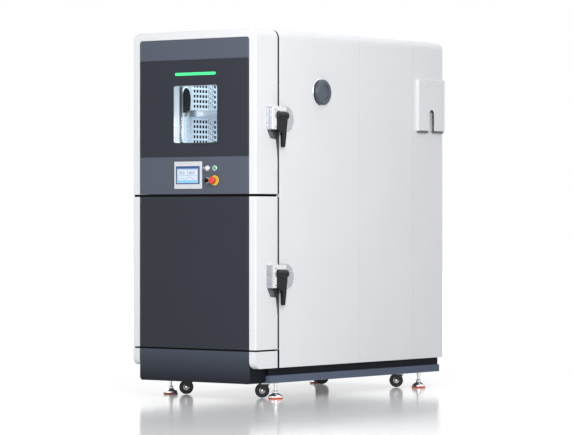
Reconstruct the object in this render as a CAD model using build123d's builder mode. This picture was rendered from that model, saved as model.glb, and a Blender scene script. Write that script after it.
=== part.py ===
"""Two-compartment environmental test chamber on castors and levelling feet.

Millimetres. X runs to the right seen from the front, Y to the back and Z up.
The origin is on the floor, under the middle of the body.
"""

import os

from build123d import *

os.makedirs("parts", exist_ok=True)

# Overall size
WIDTH = 860.0
DEPTH = 1760.0
HEIGHT = 2000.0
TOP_RADIUS = 45.0
FRONT_EDGE_RADIUS = 8.0
SHEET = 2.0

# Heights, stacked up from the floor
GROUND_CLEARANCE = 90.0
PLINTH_HEIGHT = 83.0
BASE_COVER_HEIGHT = 175.0
BASE_GAP = 9.0
LOWER_DOOR_HEIGHT = 824.0
DOOR_GAP = 14.0

# Lengths, from the front to the back
DOOR_DEPTH = 190.0
SEAM = 16.0
MIDDLE_LENGTH = 519.0
REAR_LENGTH = 297.0
COVER_GAP = 2.0
REAR_INSET = 5.0
WELD_GAP = 0.2

# Front panels of the doors and the base
SIDE_STRIP = 45.0
TOP_STRIP = 44.0
PANEL_THICKNESS = 6.0
PANEL_RADIUS = 18.0
PANEL_CLEARANCE = 1.0
PANEL_BEVEL = 12.0
PANEL_BEVEL_DEPTH = 3.0
GROOVE_WIDTH = 2.5
GROOVE_DEPTH = 1.2
HEADER_BAND_HEIGHT = 112.0
CONTROL_BAND_HEIGHT = 203.0

# Workrooms
ROOM_WALL = 110.0
ROOM_FLOOR = 88.0
ROOM_CEILING = 100.0
LOWER_ROOM_CEILING = 88.0
ROOM_REAR_WALL = 75.0
FAN_SPACE = 120.0
SIDE_DUCT = 20.0
DUCT_SETBACK = 36.0
PLUG_DEPTH = 20.0
PLUG_CLEARANCE = 5.0
GASKET_WIDTH = 26.0
GASKET_CLEARANCE = 0.3

# Window, measured from the bottom of the upper door
WINDOW_WIDTH = 306.0
WINDOW_HEIGHT = 312.0
WINDOW_RISE = 279.0
WINDOW_X = 12.0
WINDOW_RADIUS = 14.0
WINDOW_FRAME_WALL = 5.0
WINDOW_FRAME_DEPTH = 61.0
WINDOW_SEAL_DEPTH = 18.0
GLASS_THICKNESS = 6.0
GLASS_CLEARANCE = 0.3
RECESS_WIDTH = 550.0
RECESS_MARGIN = 32.0

# Status light above the window
LIGHT_LENGTH = 284.0
LIGHT_HEIGHT = 15.0
LIGHT_RISE = 63.0
LIGHT_PROUD = 1.0

# Operator screen and controls in the control band
HMI_WIDTH = 192.0
HMI_HEIGHT = 149.0
HMI_X = -35.0
HMI_RISE = 103.0
HMI_PROUD = 8.0
HMI_BODY_DEPTH = 42.0
HMI_LIP = 8.0
HMI_RADIUS = 6.0
SCREEN_WIDTH = 168.0
SCREEN_HEIGHT = 98.0
SCREEN_RECESS = 3.0
SCREEN_THICKNESS = 1.5
CONTROL_LEFT_X = 98.0
CONTROL_PITCH_X = 51.0
CONTROL_LOW_RISE = 74.0
CONTROL_PITCH_Z = 66.0
BARREL_RADIUS = 11.0
BARREL_DEPTH = 44.0
COLLAR_RADIUS = 15.0
COLLAR_PROUD = 5.0
BUTTON_RADIUS = 9.0
BUTTON_PROUD = 10.0
STEM_DEPTH = 20.0
RUNNING_CLEARANCE = 0.4
STOP_RADIUS = 20.0
STOP_PROUD = 36.0
STOP_CAP = 15.0
STOP_RING_RADIUS = 27.0
KNOB_PROUD = 24.0

# Latches, on the right side over the seam
LATCH_HEIGHT = 125.0
LATCH_LENGTH = 38.0
LATCH_LEAD = 97.0
LATCH_PROUD = 39.0
LATCH_PLATE = 5.0
ARM_LENGTH = 84.0
ARM_HEIGHT = 24.0
ARM_THICKNESS = 14.0
LEVER_DROP = 170.0
LEVER_HUB_RADIUS = 22.0
LEVER_HUB_OUT = 29.0
LEVER_PIN_RADIUS = 6.0
PIVOT_CLEARANCE = 0.05
UPPER_LATCH_RISE = 471.0
LOWER_LATCH_RISE = 456.0
STRIKE_LENGTH = 124.0

# Hinges, on the left side over the seam
HINGE_OUT = 22.0
KNUCKLE_RADIUS = 13.0
HINGE_PIN_RADIUS = 6.0
KNUCKLE_HEIGHT = 44.0
KNUCKLE_GAP = 0.5
LEAF_HEIGHT = 120.0
LEAF_LENGTH = 62.0
LEAF_THICKNESS = 6.0
HINGE_INSET = 110.0

# Cable port through the right wall
PORT_RADIUS = 50.0
PORT_BEFORE_END = 355.0
PORT_HEIGHT = 1673.0
PORT_WALL = 2.0
PORT_FLANGE_RADIUS = 77.0
PORT_FLANGE = 4.0
PLUG_RADIUS = 49.0
PLUG_LENGTH = 70.0
CAP_RADIUS = 64.0
CAP_THICKNESS = 24.0

# Shelves and their rails
SHELF_SIDE_GAP = 18.0
SHELF_FRONT = 80.0
SHELF_BACK_GAP = 34.0
SHELF_RIM = 34.0
UPPER_SHELF_RISE = 345.0
LOWER_SHELF_RISE = 300.0
RAIL_REACH = 24.0

# Fans and coils behind the duct plates
FAN_RADIUS = 110.0
FAN_DEPTH = 55.0
FAN_BLADES = 10
FAN_SHAFT_RADIUS = 8.0
MOTOR_RADIUS = 70.0
MOTOR_LENGTH = 170.0
COIL_HEIGHT = 150.0

# Castors and levelling feet
CASTOR_X = 268.0
CASTOR_FRONT_Y = 295.0
CASTOR_REAR_Y = 205.0
WHEEL_RADIUS = 39.5
WHEEL_WIDTH = 28.0
WHEEL_GAP = 2.0
CASTOR_TRAIL = 20.0
CASTOR_TURN = 127.6
FORK_LEG = 4.0
AXLE_RADIUS = 5.0
STEM_RADIUS = 10.0
FOOT_X = 370.0
FOOT_FRONT_Y = 250.0
FOOT_REAR_Y = 160.0
FOOT_RADIUS = 40.0
STUD_RADIUS = 9.0
STUD_CLEARANCE = 0.4

# Places that follow from the sizes above
HALF = WIDTH / 2
FRONT = -DEPTH / 2
REAR = DEPTH / 2
PLINTH_TOP = GROUND_CLEARANCE + PLINTH_HEIGHT
BASE_TOP = GROUND_CLEARANCE + BASE_COVER_HEIGHT
LOWER_BOTTOM = BASE_TOP + BASE_GAP
LOWER_TOP = LOWER_BOTTOM + LOWER_DOOR_HEIGHT
UPPER_BOTTOM = LOWER_TOP + DOOR_GAP
DOOR_BACK = FRONT + DOOR_DEPTH
CABINET_FRONT = DOOR_BACK + SEAM
REAR_START = REAR - REAR_INSET - REAR_LENGTH
MIDDLE_END = REAR_START - COVER_GAP
MIDDLE_START = MIDDLE_END - MIDDLE_LENGTH
CHAMBER_END = MIDDLE_START - COVER_GAP
CHAMBER_LENGTH = CHAMBER_END - CABINET_FRONT
PANEL_HALF = HALF - SIDE_STRIP
ROOM_HALF = HALF - ROOM_WALL
ROOM_BACK = CHAMBER_END - ROOM_REAR_WALL
ROOM_FRONT = CABINET_FRONT + SHEET
DUCT_Y = ROOM_BACK - FAN_SPACE
DUCT_HALF = ROOM_HALF - SIDE_DUCT
PLUG_BACK = DOOR_BACK + SEAM + PLUG_DEPTH
SEAM_Y = (DOOR_BACK + CABINET_FRONT) / 2
UPPER_ROOM = (UPPER_BOTTOM + ROOM_FLOOR, HEIGHT - ROOM_CEILING)
LOWER_ROOM = (LOWER_BOTTOM + ROOM_FLOOR, LOWER_TOP - LOWER_ROOM_CEILING)
WINDOW_Z = UPPER_BOTTOM + WINDOW_RISE + WINDOW_HEIGHT / 2


def facing_front(y):
    """An upright plane that faces the front, with X to the right and Z up."""
    return Plane(origin=(0, y, 0), x_dir=(1, 0, 0), z_dir=(0, -1, 0))


def facing_right(x):
    """An upright plane that faces right, with Y to its right and Z up."""
    return Plane(origin=(x, 0, 0), x_dir=(0, 1, 0), z_dir=(1, 0, 0))


def slab(low, high, mode=Mode.ADD):
    """A block between two opposite corners."""
    with Locations([tuple((a + b) / 2 for a, b in zip(low, high))]):
        Box(*(b - a for a, b in zip(low, high)), mode=mode)


def prism(plane, centre, width, height, radius, length, mode=Mode.ADD):
    """A block with rounded corners, drawn on a plane and raised from it."""
    with BuildSketch(plane) as profile:
        with Locations(centre):
            RectangleRounded(width, height, radius)
    extrude(profile.sketch, amount=length, mode=mode)


def rod(plane, centre, radius, length, mode=Mode.ADD):
    """A round bar, drawn on a plane and raised from it."""
    with BuildSketch(plane) as profile:
        with Locations(centre):
            Circle(radius)
    extrude(profile.sketch, amount=length, mode=mode)


def body_section(start, half, bottom, top, radius, length, mode=Mode.ADD):
    """A length of the body's outline: square below, rounded above, run forward from a Y place."""
    with BuildSketch(facing_front(start)) as outline:
        with Locations((0, (bottom + top) / 2)):
            Rectangle(2 * half, top - bottom)
        fillet(outline.vertices().group_by(Axis.Y)[-1], radius)
    extrude(outline.sketch, amount=length, mode=mode)


def save(piece, name):
    """Name a finished piece and write it."""
    piece.part.label = name
    export_step(piece.part, f"parts/{name}.step")


def save_turned(piece, name, spot):
    """Turn a finished castor piece about its swivel, name it and write it."""
    turned = piece.part.rotate(Axis((*spot, 0), (0, 0, 1)), CASTOR_TURN)
    turned.label = name
    export_step(turned, f"parts/{name}.step")


# Base: welded frame, front cover and side trims

BASE_INSET = 22.0
LIP_HEIGHT = 40.0
LIP_DEPTH = 12.0
BASE_FRONT_BEAM = 150.0
BEAM = 50.0
base_half = HALF - BASE_INSET
beam_front = FRONT + BASE_FRONT_BEAM
castor_rows = (FRONT + CASTOR_FRONT_Y, REAR - CASTOR_REAR_Y)
foot_rows = (FRONT + FOOT_FRONT_Y, REAR - FOOT_REAR_Y)
castor_spots = [(x, y) for y in castor_rows for x in (-CASTOR_X, CASTOR_X)]
foot_spots = [(x, y) for y in foot_rows for x in (-FOOT_X, FOOT_X)]

with BuildPart() as base_frame:
    # Ring of channel with its lower lip standing proud
    outer_rear = REAR - REAR_INSET
    slab((-base_half, beam_front, GROUND_CLEARANCE), (base_half, outer_rear, PLINTH_TOP))
    slab(
        (-base_half - 1, beam_front - 1, GROUND_CLEARANCE + LIP_HEIGHT),
        (-base_half + LIP_DEPTH, outer_rear + 1, PLINTH_TOP - SHEET),
        Mode.SUBTRACT,
    )
    slab(
        (base_half - LIP_DEPTH, beam_front - 1, GROUND_CLEARANCE + LIP_HEIGHT),
        (base_half + 1, outer_rear + 1, PLINTH_TOP - SHEET),
        Mode.SUBTRACT,
    )
    # Two bays open to the ground between the long beams and the cross beams
    bay_half = base_half - 2 * BEAM
    slab(
        (-bay_half, castor_rows[0] + BEAM, GROUND_CLEARANCE - 1),
        (bay_half, -BEAM, PLINTH_TOP - SHEET),
        Mode.SUBTRACT,
    )
    slab(
        (-bay_half, BEAM, GROUND_CLEARANCE - 1),
        (bay_half, castor_rows[1] - BEAM, PLINTH_TOP - SHEET),
        Mode.SUBTRACT,
    )
    # Holes for the castor stems and the levelling studs
    for x, y in castor_spots:
        rod(Plane.XY.offset(GROUND_CLEARANCE - 1), (x, y), STEM_RADIUS + STUD_CLEARANCE, 41, Mode.SUBTRACT)
    for x, y in foot_spots:
        rod(Plane.XY.offset(GROUND_CLEARANCE - 1), (x, y), STUD_RADIUS + STUD_CLEARANCE, 71, Mode.SUBTRACT)
    # Brackets that carry the front cover
    for side in (-1, 1):
        low_x, high_x = sorted((side * 250, side * 300))
        slab((low_x, FRONT + SHEET, PLINTH_TOP - 40), (high_x, beam_front, PLINTH_TOP))
save(base_frame, "base_frame")

COVER_RETURN = 145.0
COVER_CORNER = 20.0
with BuildPart() as base_front_cover:
    with BuildSketch(facing_front(FRONT + COVER_RETURN)) as outline:
        with Locations((0, (GROUND_CLEARANCE + BASE_TOP) / 2)):
            Rectangle(2 * (PANEL_HALF - PANEL_CLEARANCE), BASE_COVER_HEIGHT)
        fillet(outline.vertices().group_by(Axis.Y)[0], COVER_CORNER)
    extrude(amount=COVER_RETURN)
    front_edges = base_front_cover.faces().sort_by(Axis.Y)[0].edges()
    chamfer(front_edges, PANEL_BEVEL_DEPTH)
    inner = PANEL_HALF - PANEL_CLEARANCE - SHEET
    slab(
        (-inner, FRONT + SHEET, GROUND_CLEARANCE + COVER_CORNER),
        (inner, FRONT + COVER_RETURN + 1, BASE_TOP - SHEET),
        Mode.SUBTRACT,
    )
    slab(
        (-inner + COVER_CORNER, FRONT + SHEET, GROUND_CLEARANCE - 1),
        (inner - COVER_CORNER, FRONT + COVER_RETURN + 1, BASE_TOP - SHEET),
        Mode.SUBTRACT,
    )
save(base_front_cover, "base_front_cover")

TRIM_CUT_Y = 38.0
TRIM_CUT_Z = 36.0
TRIM_BULGE_Y = 12.0
TRIM_BULGE_Z = 11.0
with BuildPart() as base_side_trims:
    for side in (-1, 1):
        with BuildSketch(facing_right(side * HALF)):
            with BuildLine():
                Polyline(
                    (FRONT + TRIM_CUT_Y, PLINTH_TOP),
                    (CABINET_FRONT, PLINTH_TOP),
                    (CABINET_FRONT, BASE_TOP),
                    (FRONT, BASE_TOP),
                    (FRONT, PLINTH_TOP + TRIM_CUT_Z),
                )
                ThreePointArc(
                    (FRONT, PLINTH_TOP + TRIM_CUT_Z),
                    (FRONT + TRIM_BULGE_Y, PLINTH_TOP + TRIM_BULGE_Z),
                    (FRONT + TRIM_CUT_Y, PLINTH_TOP),
                )
            make_face()
        extrude(amount=-side * SIDE_STRIP)
save(base_side_trims, "base_side_trims")

# Cabinet covers

with BuildPart() as chamber_cover:
    # Skin over the top and down both sides
    body_section(CHAMBER_END, HALF, PLINTH_TOP, HEIGHT, TOP_RADIUS, CHAMBER_LENGTH)
    body_section(
        CHAMBER_END,
        HALF - SHEET,
        PLINTH_TOP - 1,
        HEIGHT - SHEET,
        TOP_RADIUS - SHEET,
        CHAMBER_LENGTH - SHEET,
        Mode.SUBTRACT,
    )
    # Openings of the two workrooms in the front flange
    for room in (UPPER_ROOM, LOWER_ROOM):
        inside = ROOM_HALF - SHEET
        slab(
            (-inside, CABINET_FRONT - 1, room[0] + SHEET),
            (inside, ROOM_FRONT + 1, room[1] - SHEET),
            Mode.SUBTRACT,
        )
    port_spot = (CHAMBER_END - PORT_BEFORE_END, PORT_HEIGHT)
    port_bore = PORT_RADIUS + PORT_WALL
    rod(facing_right(HALF - 2 * SHEET), port_spot, port_bore, 3 * SHEET, Mode.SUBTRACT)
save(chamber_cover, "chamber_cover")

for name, start, end in (
    ("machine_cover_middle", MIDDLE_START, MIDDLE_END),
    ("machine_cover_rear", REAR_START, REAR - REAR_INSET),
):
    with BuildPart() as cover:
        body_section(end, HALF, PLINTH_TOP, HEIGHT, TOP_RADIUS, end - start)
        body_section(
            end,
            HALF - SHEET,
            PLINTH_TOP - 1,
            HEIGHT - SHEET,
            TOP_RADIUS - SHEET,
            end - start,
            Mode.SUBTRACT,
        )
    save(cover, name)

LOUVRE_WIDTH = 240.0
LOUVRE_SLOT = 12.0
LOUVRE_PITCH = 40.0
LOUVRE_ROWS = 9
DRAIN_RADIUS = 12.0
with BuildPart() as rear_panel:
    rear_skin = REAR - REAR_INSET
    body_section(rear_skin + SHEET, HALF - SHEET, PLINTH_TOP, HEIGHT - SHEET, TOP_RADIUS, 2 * SHEET)
    with BuildSketch(facing_front(rear_skin + 2 * SHEET)):
        for z in (PLINTH_TOP + 300, HEIGHT - 420):
            with Locations((0, z)):
                with GridLocations(LOUVRE_WIDTH + 60, LOUVRE_PITCH, 2, LOUVRE_ROWS):
                    Rectangle(LOUVRE_WIDTH, LOUVRE_SLOT)
    extrude(amount=4 * SHEET, mode=Mode.SUBTRACT)
    # Drain spigot and cable gland
    for x, z in ((-330, PLINTH_TOP + 70), (-260, PLINTH_TOP + 70)):
        rod(facing_front(REAR + 15), (x, z), DRAIN_RADIUS, 15 + REAR_INSET)
        rod(facing_front(REAR + 16), (x, z), DRAIN_RADIUS - 4, 30, Mode.SUBTRACT)
save(rear_panel, "rear_panel")

# Insulation and stainless workrooms

INSULATION_FLOOR = PLINTH_TOP + SHEET
fan_hole = FAN_SHAFT_RADIUS + 4
rooms = {"upper": UPPER_ROOM, "lower": LOWER_ROOM}
fan_heights = {"upper": UPPER_ROOM[1] - 260, "lower": LOWER_ROOM[1] - 230}

with BuildPart() as insulation:
    body_section(
        CHAMBER_END,
        HALF - SHEET - 0.5,
        INSULATION_FLOOR,
        HEIGHT - SHEET - 0.5,
        TOP_RADIUS - SHEET,
        CHAMBER_LENGTH - SHEET,
    )
    for room_name, room in rooms.items():
        slab((-ROOM_HALF, ROOM_FRONT - 1, room[0]), (ROOM_HALF, ROOM_BACK, room[1]), Mode.SUBTRACT)
        rod(facing_front(CHAMBER_END + 1), (0, fan_heights[room_name]), fan_hole, 200, Mode.SUBTRACT)
    rod(facing_right(ROOM_HALF - 10), port_spot, port_bore, ROOM_WALL + 20, Mode.SUBTRACT)
save(insulation, "insulation")

with BuildPart() as workroom_liners:
    for room_name, room in rooms.items():
        slab((-ROOM_HALF, ROOM_FRONT, room[0]), (ROOM_HALF, ROOM_BACK, room[1]))
        slab(
            (-ROOM_HALF + SHEET, ROOM_FRONT - 1, room[0] + SHEET),
            (ROOM_HALF - SHEET, ROOM_BACK - SHEET, room[1] - SHEET),
            Mode.SUBTRACT,
        )
        rod(facing_front(ROOM_BACK + 1), (0, fan_heights[room_name]), fan_hole, 10, Mode.SUBTRACT)
        # Weld seams that part the back sheet, and the floor and ceiling sheets, from the sides
        back_face = ROOM_BACK - SHEET
        slab(
            (-ROOM_HALF - 1, back_face - WELD_GAP, room[0] - 1),
            (ROOM_HALF + 1, back_face, room[1] + 1),
            Mode.SUBTRACT,
        )
        for seam in (room[0] + SHEET, room[1] - SHEET - WELD_GAP):
            slab(
                (-ROOM_HALF - 1, ROOM_FRONT - 1, seam),
                (ROOM_HALF + 1, back_face - WELD_GAP, seam + WELD_GAP),
                Mode.SUBTRACT,
            )
    rod(facing_right(ROOM_HALF - 10), port_spot, port_bore, 20, Mode.SUBTRACT)
save(workroom_liners, "workroom_liners")

# Duct plates: a folded sheet round three sides of each workroom

SLOT_WIDTH = 18.0
SLOT_HEIGHT = 17.0
SLOT_PITCH_Y = 26.0
SLOT_PITCH_Z = 28.4
SLOT_MARGIN = 75.0
duct_front = ROOM_FRONT + DUCT_SETBACK
duct_length = DUCT_Y - duct_front
slot_centre_y = (duct_front + DUCT_Y) / 2
fine_columns = int((duct_length - 2 * SLOT_MARGIN) / SLOT_PITCH_Y)
wide_columns = int((duct_length - SLOT_MARGIN) / (4 * SLOT_PITCH_Y))

with BuildPart() as duct_plates:
    for room_name, room in rooms.items():
        low, high = room[0] + SHEET, room[1] - SHEET
        slab((-ROOM_HALF + SHEET, duct_front, low), (ROOM_HALF - SHEET, DUCT_Y, high))
        slab(
            (-DUCT_HALF + SHEET, duct_front - 1, low - 1),
            (DUCT_HALF - SHEET, DUCT_Y - SHEET, high + 1),
            Mode.SUBTRACT,
        )
        for side in (-1, 1):
            near, far = sorted((side * DUCT_HALF, side * ROOM_HALF))
            slab((near, duct_front + SHEET, low - 1), (far, DUCT_Y + 1, high + 1), Mode.SUBTRACT)
        # Weld seams that part the back sheet from the sides
        slab(
            (-DUCT_HALF - 1, DUCT_Y - SHEET - WELD_GAP, low - 1),
            (DUCT_HALF + 1, DUCT_Y - SHEET, high + 1),
            Mode.SUBTRACT,
        )
        # Return grille in front of the fan
        with BuildSketch(facing_front(DUCT_Y + 1)):
            with Locations((0, fan_heights[room_name])):
                with GridLocations(42, 42, 5, 5):
                    Rectangle(30, 30)
        extrude(amount=2 * SHEET, mode=Mode.SUBTRACT)
    # Supply slots in the side walls
    upper_middle = (UPPER_ROOM[0] + UPPER_ROOM[1]) / 2
    lower_middle = (LOWER_ROOM[0] + LOWER_ROOM[1]) / 2
    with BuildSketch(facing_right(-DUCT_HALF - 1)):
        with Locations((slot_centre_y - SLOT_PITCH_Y / 2, upper_middle)):
            with GridLocations(SLOT_PITCH_Y, SLOT_PITCH_Z, fine_columns, 13):
                Rectangle(SLOT_WIDTH, SLOT_HEIGHT)
    extrude(amount=2 * SHEET, mode=Mode.SUBTRACT)
    with BuildSketch(facing_right(-DUCT_HALF - 1)):
        with Locations((slot_centre_y, lower_middle)):
            with GridLocations(4 * SLOT_PITCH_Y, 2 * SLOT_PITCH_Z, wide_columns, 6):
                Rectangle(3 * SLOT_PITCH_Y, SLOT_HEIGHT)
    extrude(amount=2 * SHEET, mode=Mode.SUBTRACT)
    with BuildSketch(facing_right(DUCT_HALF - 3 * SHEET)):
        with Locations((slot_centre_y, lower_middle)):
            with GridLocations(4 * SLOT_PITCH_Y, 2 * SLOT_PITCH_Z, wide_columns, 6):
                Rectangle(3 * SLOT_PITCH_Y, SLOT_HEIGHT)
        with Locations((slot_centre_y, upper_middle - 2 * SLOT_PITCH_Z)):
            with GridLocations(4 * SLOT_PITCH_Y, 2 * SLOT_PITCH_Z, wide_columns, 5):
                Rectangle(3 * SLOT_PITCH_Y, SLOT_HEIGHT)
    extrude(amount=4 * SHEET, mode=Mode.SUBTRACT)
    rod(facing_right(DUCT_HALF - 10), port_spot, port_bore, 20 + SIDE_DUCT, Mode.SUBTRACT)
save(duct_plates, "duct_plates")

# Shelf rails: slotted uprights with a bearer for the shelf

UPRIGHT_WIDTH = 36.0
UPRIGHT_DEPTH = 6.0
BEARER = 4.0
rail_face = DUCT_HALF - SHEET
shelf_bottoms = {"upper": UPPER_ROOM[0] + UPPER_SHELF_RISE, "lower": LOWER_ROOM[0] + LOWER_SHELF_RISE}
shelf_front = CABINET_FRONT + SHELF_FRONT
shelf_back = DUCT_Y - SHELF_BACK_GAP
shelf_middle = (shelf_front + shelf_back) / 2
upright_places = (shelf_front + 48, shelf_middle + 20, shelf_back - 40)
with BuildPart() as shelf_rails:
    for room_name, room in rooms.items():
        rest_z = shelf_bottoms[room_name]
        for side in (-1, 1):
            for y in upright_places:
                near, far = sorted((side * (rail_face - UPRIGHT_DEPTH), side * rail_face))
                slab(
                    (near, y - UPRIGHT_WIDTH / 2, room[0] + SHEET),
                    (far, y + UPRIGHT_WIDTH / 2, room[1] - SHEET - 90),
                )
            near, far = sorted((side * (rail_face - RAIL_REACH), side * rail_face))
            slab((near, shelf_front, rest_z - BEARER - 0.3), (far, shelf_back, rest_z - 0.3))
save(shelf_rails, "shelf_rails")

# Shelves: a folded rim with a slotted tray

SHELF_SLOT_PITCH = 40.0
SHELF_SLOT_WIDTH = 22.0
SHELF_SLOT_MARGIN = 45.0
SHELF_SLOT_BRIDGE = 30.0
half_shelf = rail_face - SHELF_SIDE_GAP
slot_length = (shelf_back - shelf_front - 2 * SHELF_SLOT_MARGIN - SHELF_SLOT_BRIDGE) / 2
slot_columns = int((2 * half_shelf - 2 * SHELF_SLOT_MARGIN) / SHELF_SLOT_PITCH) + 1
for room_name, rest_z in shelf_bottoms.items():
    with BuildPart() as shelf:
        slab((-half_shelf, shelf_front, rest_z), (half_shelf, shelf_back, rest_z + SHELF_RIM))
        slab(
            (-half_shelf + SHEET, shelf_front + SHEET, rest_z + SHEET),
            (half_shelf - SHEET, shelf_back - SHEET, rest_z + SHELF_RIM + 1),
            Mode.SUBTRACT,
        )
        with BuildSketch(Plane.XY.offset(rest_z - 1)):
            with Locations((0, shelf_middle)):
                with GridLocations(SHELF_SLOT_PITCH, slot_length + SHELF_SLOT_BRIDGE, slot_columns, 2):
                    Rectangle(SHELF_SLOT_WIDTH, slot_length)
        extrude(amount=2 * SHEET, mode=Mode.SUBTRACT)
    save(shelf, f"{room_name}_shelf")

# Air handling: fans, motors and coils

for room_name, z in fan_heights.items():
    fan_back = ROOM_BACK - SHEET - 20
    with BuildPart() as fan:
        rod(facing_front(fan_back), (0, z), FAN_RADIUS, 3)
        rod(facing_front(fan_back), (0, z), 28, FAN_DEPTH)
        with BuildSketch(facing_front(fan_back - 2)):
            with Locations((0, z)):
                with PolarLocations((FAN_RADIUS + 24) / 2, FAN_BLADES):
                    Rectangle(FAN_RADIUS - 26, 3)
        extrude(amount=FAN_DEPTH - 2)
        rod(facing_front(CHAMBER_END + 60), (0, z), FAN_SHAFT_RADIUS, CHAMBER_END + 60 - fan_back)
    save(fan, f"{room_name}_fan")

with BuildPart() as fan_motors:
    for z in fan_heights.values():
        rod(facing_front(CHAMBER_END + MOTOR_LENGTH), (0, z), MOTOR_RADIUS, MOTOR_LENGTH)
        rod(facing_front(CHAMBER_END + 15), (0, z), MOTOR_RADIUS + 20, 15)
        rod(
            facing_front(CHAMBER_END + 62),
            (0, z),
            FAN_SHAFT_RADIUS + PIVOT_CLEARANCE,
            63,
            Mode.SUBTRACT,
        )
save(fan_motors, "fan_motors")

with BuildPart() as air_coils:
    for room_name, room in rooms.items():
        low = room[0] + SHEET + 20
        # Evaporator block on two brackets down to the liner floor
        slab((-230, DUCT_Y + 15, low), (230, ROOM_BACK - 25, low + COIL_HEIGHT))
        for x in (-180, 180):
            slab((x - 15, DUCT_Y + 30, room[0] + SHEET), (x + 15, ROOM_BACK - 40, low))
        # Heater ring round the fan, held to the back wall
        with BuildSketch(facing_front(ROOM_BACK - SHEET - 35)):
            with Locations((0, fan_heights[room_name])):
                Circle(FAN_RADIUS + 22)
                Circle(FAN_RADIUS + 12, mode=Mode.SUBTRACT)
        extrude(amount=12)
        for side in (-1, 1):
            rod(facing_front(ROOM_BACK - SHEET), (side * (FAN_RADIUS + 17), fan_heights[room_name]), 4, 36)
save(air_coils, "air_coils")

# Machine room: refrigeration plant and electrics

deck = PLINTH_TOP
with BuildPart() as refrigeration_unit:
    for y in (MIDDLE_START + 190, MIDDLE_START + 460):
        with BuildSketch(Plane.XY.offset(deck)):
            with Locations((-170, y)):
                RectangleRounded(230, 170, 20)
        extrude(amount=12)
        rod(Plane.XY.offset(deck + 12), (-170, y), 95, 300)
        fillet(refrigeration_unit.edges().group_by(Axis.Z)[-1], 40)
    slab((60, MIDDLE_START + 120, deck), (360, MIDDLE_START + 560, deck + 420))
save(refrigeration_unit, "refrigeration_unit")

with BuildPart() as electrics_box:
    slab(
        (-HALF + SHEET, MIDDLE_START + 230, HEIGHT - 950),
        (-HALF + SHEET + 220, REAR_START + 240, HEIGHT - 150),
    )
    chamfer(electrics_box.edges().filter_by(Axis.Z), 6)
    offset(amount=-SHEET, openings=electrics_box.faces().sort_by(Axis.X)[:1])
save(electrics_box, "electrics_box")

# Cable port: sleeve with its flange, and the plug

with BuildPart() as port_sleeve:
    sleeve_start = DUCT_HALF - SHEET
    rod(facing_right(sleeve_start), port_spot, port_bore - 0.3, HALF - sleeve_start)
    rod(facing_right(HALF), port_spot, PORT_FLANGE_RADIUS, PORT_FLANGE)
    chamfer(port_sleeve.edges().group_by(Axis.X)[-1], 2)
    rod(facing_right(sleeve_start - 1), port_spot, PORT_RADIUS, HALF, Mode.SUBTRACT)
save(port_sleeve, "port_sleeve")

with BuildPart() as port_plug:
    cap_seat = HALF + PORT_FLANGE + 0.3
    rod(facing_right(cap_seat), port_spot, CAP_RADIUS, CAP_THICKNESS)
    fillet(port_plug.edges().group_by(Axis.X)[-1], 9)
    rod(facing_right(cap_seat + CAP_THICKNESS), port_spot, CAP_RADIUS - 22, -6, Mode.SUBTRACT)
    with BuildSketch(facing_right(cap_seat)):
        with Locations(port_spot):
            Circle(PLUG_RADIUS)
    extrude(amount=-PLUG_LENGTH, taper=1.5)
save(port_plug, "port_plug")

# Document pocket on the right side near the rear

POCKET_START = 30.0
POCKET_LOW = 1482.0
POCKET_HEIGHT = 297.0
POCKET_PROUD = 20.0
STEP_DEPTH = 1.3
pocket_front = REAR_START + POCKET_START
pocket_back = REAR - REAR_INSET - 3
with BuildPart() as side_pocket:
    pocket_top = POCKET_LOW + POCKET_HEIGHT
    slot_y = (pocket_front + pocket_back) / 2
    slab((HALF, pocket_front, POCKET_LOW), (HALF + POCKET_PROUD, pocket_back, pocket_top))
    chamfer(side_pocket.faces().sort_by(Axis.X)[-1].edges(), 3)
    slab(
        (HALF - 1, pocket_front + SHEET, POCKET_LOW - 1),
        (HALF + POCKET_PROUD - SHEET, pocket_back - SHEET, pocket_top - SHEET),
        Mode.SUBTRACT,
    )
    # Diagonal step pressed into the outer sheet near its top edge
    with BuildSketch(facing_right(HALF + POCKET_PROUD - STEP_DEPTH)):
        with BuildLine():
            Polyline(
                (slot_y - 52, pocket_top - 40),
                (slot_y - 8, pocket_top - 28),
                (slot_y + 22, pocket_top - 6),
                (slot_y + 22, pocket_top - 12),
                (slot_y - 6, pocket_top - 34),
                (slot_y - 52, pocket_top - 44),
                close=True,
            )
        make_face()
    extrude(amount=2 * STEP_DEPTH, mode=Mode.SUBTRACT)
    # Finger slot, rounded at the top and open at the bottom
    with BuildSketch(facing_right(HALF + POCKET_PROUD - 2 * SHEET)):
        with Locations((slot_y, POCKET_LOW + 60)):
            RectangleRounded(44, 124, 21.9)
    extrude(amount=3 * SHEET, mode=Mode.SUBTRACT)
save(side_pocket, "side_pocket")

# Doors: folded outer pans with a shallow seat for the front panel

latch_tops = {"upper": UPPER_BOTTOM + UPPER_LATCH_RISE, "lower": LOWER_BOTTOM + LOWER_LATCH_RISE}
control_left = (CONTROL_LEFT_X, UPPER_BOTTOM + CONTROL_LOW_RISE)
CONTROL_SPOTS = {
    "selector_knob": control_left,
    "key_switch": (control_left[0], control_left[1] + CONTROL_PITCH_Z),
    "start_button": (control_left[0] + CONTROL_PITCH_X, control_left[1] + CONTROL_PITCH_Z),
    "emergency_stop": (control_left[0] + CONTROL_PITCH_X, control_left[1]),
}
HMI_Z = UPPER_BOTTOM + HMI_RISE
sleeve_width = WINDOW_WIDTH + 2 * WINDOW_FRAME_WALL
sleeve_height = WINDOW_HEIGHT + 2 * WINDOW_FRAME_WALL
sleeve_radius = WINDOW_RADIUS + WINDOW_FRAME_WALL
hmi_body_width = HMI_WIDTH - 2 * HMI_LIP
hmi_body_height = HMI_HEIGHT - 2 * HMI_LIP
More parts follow.
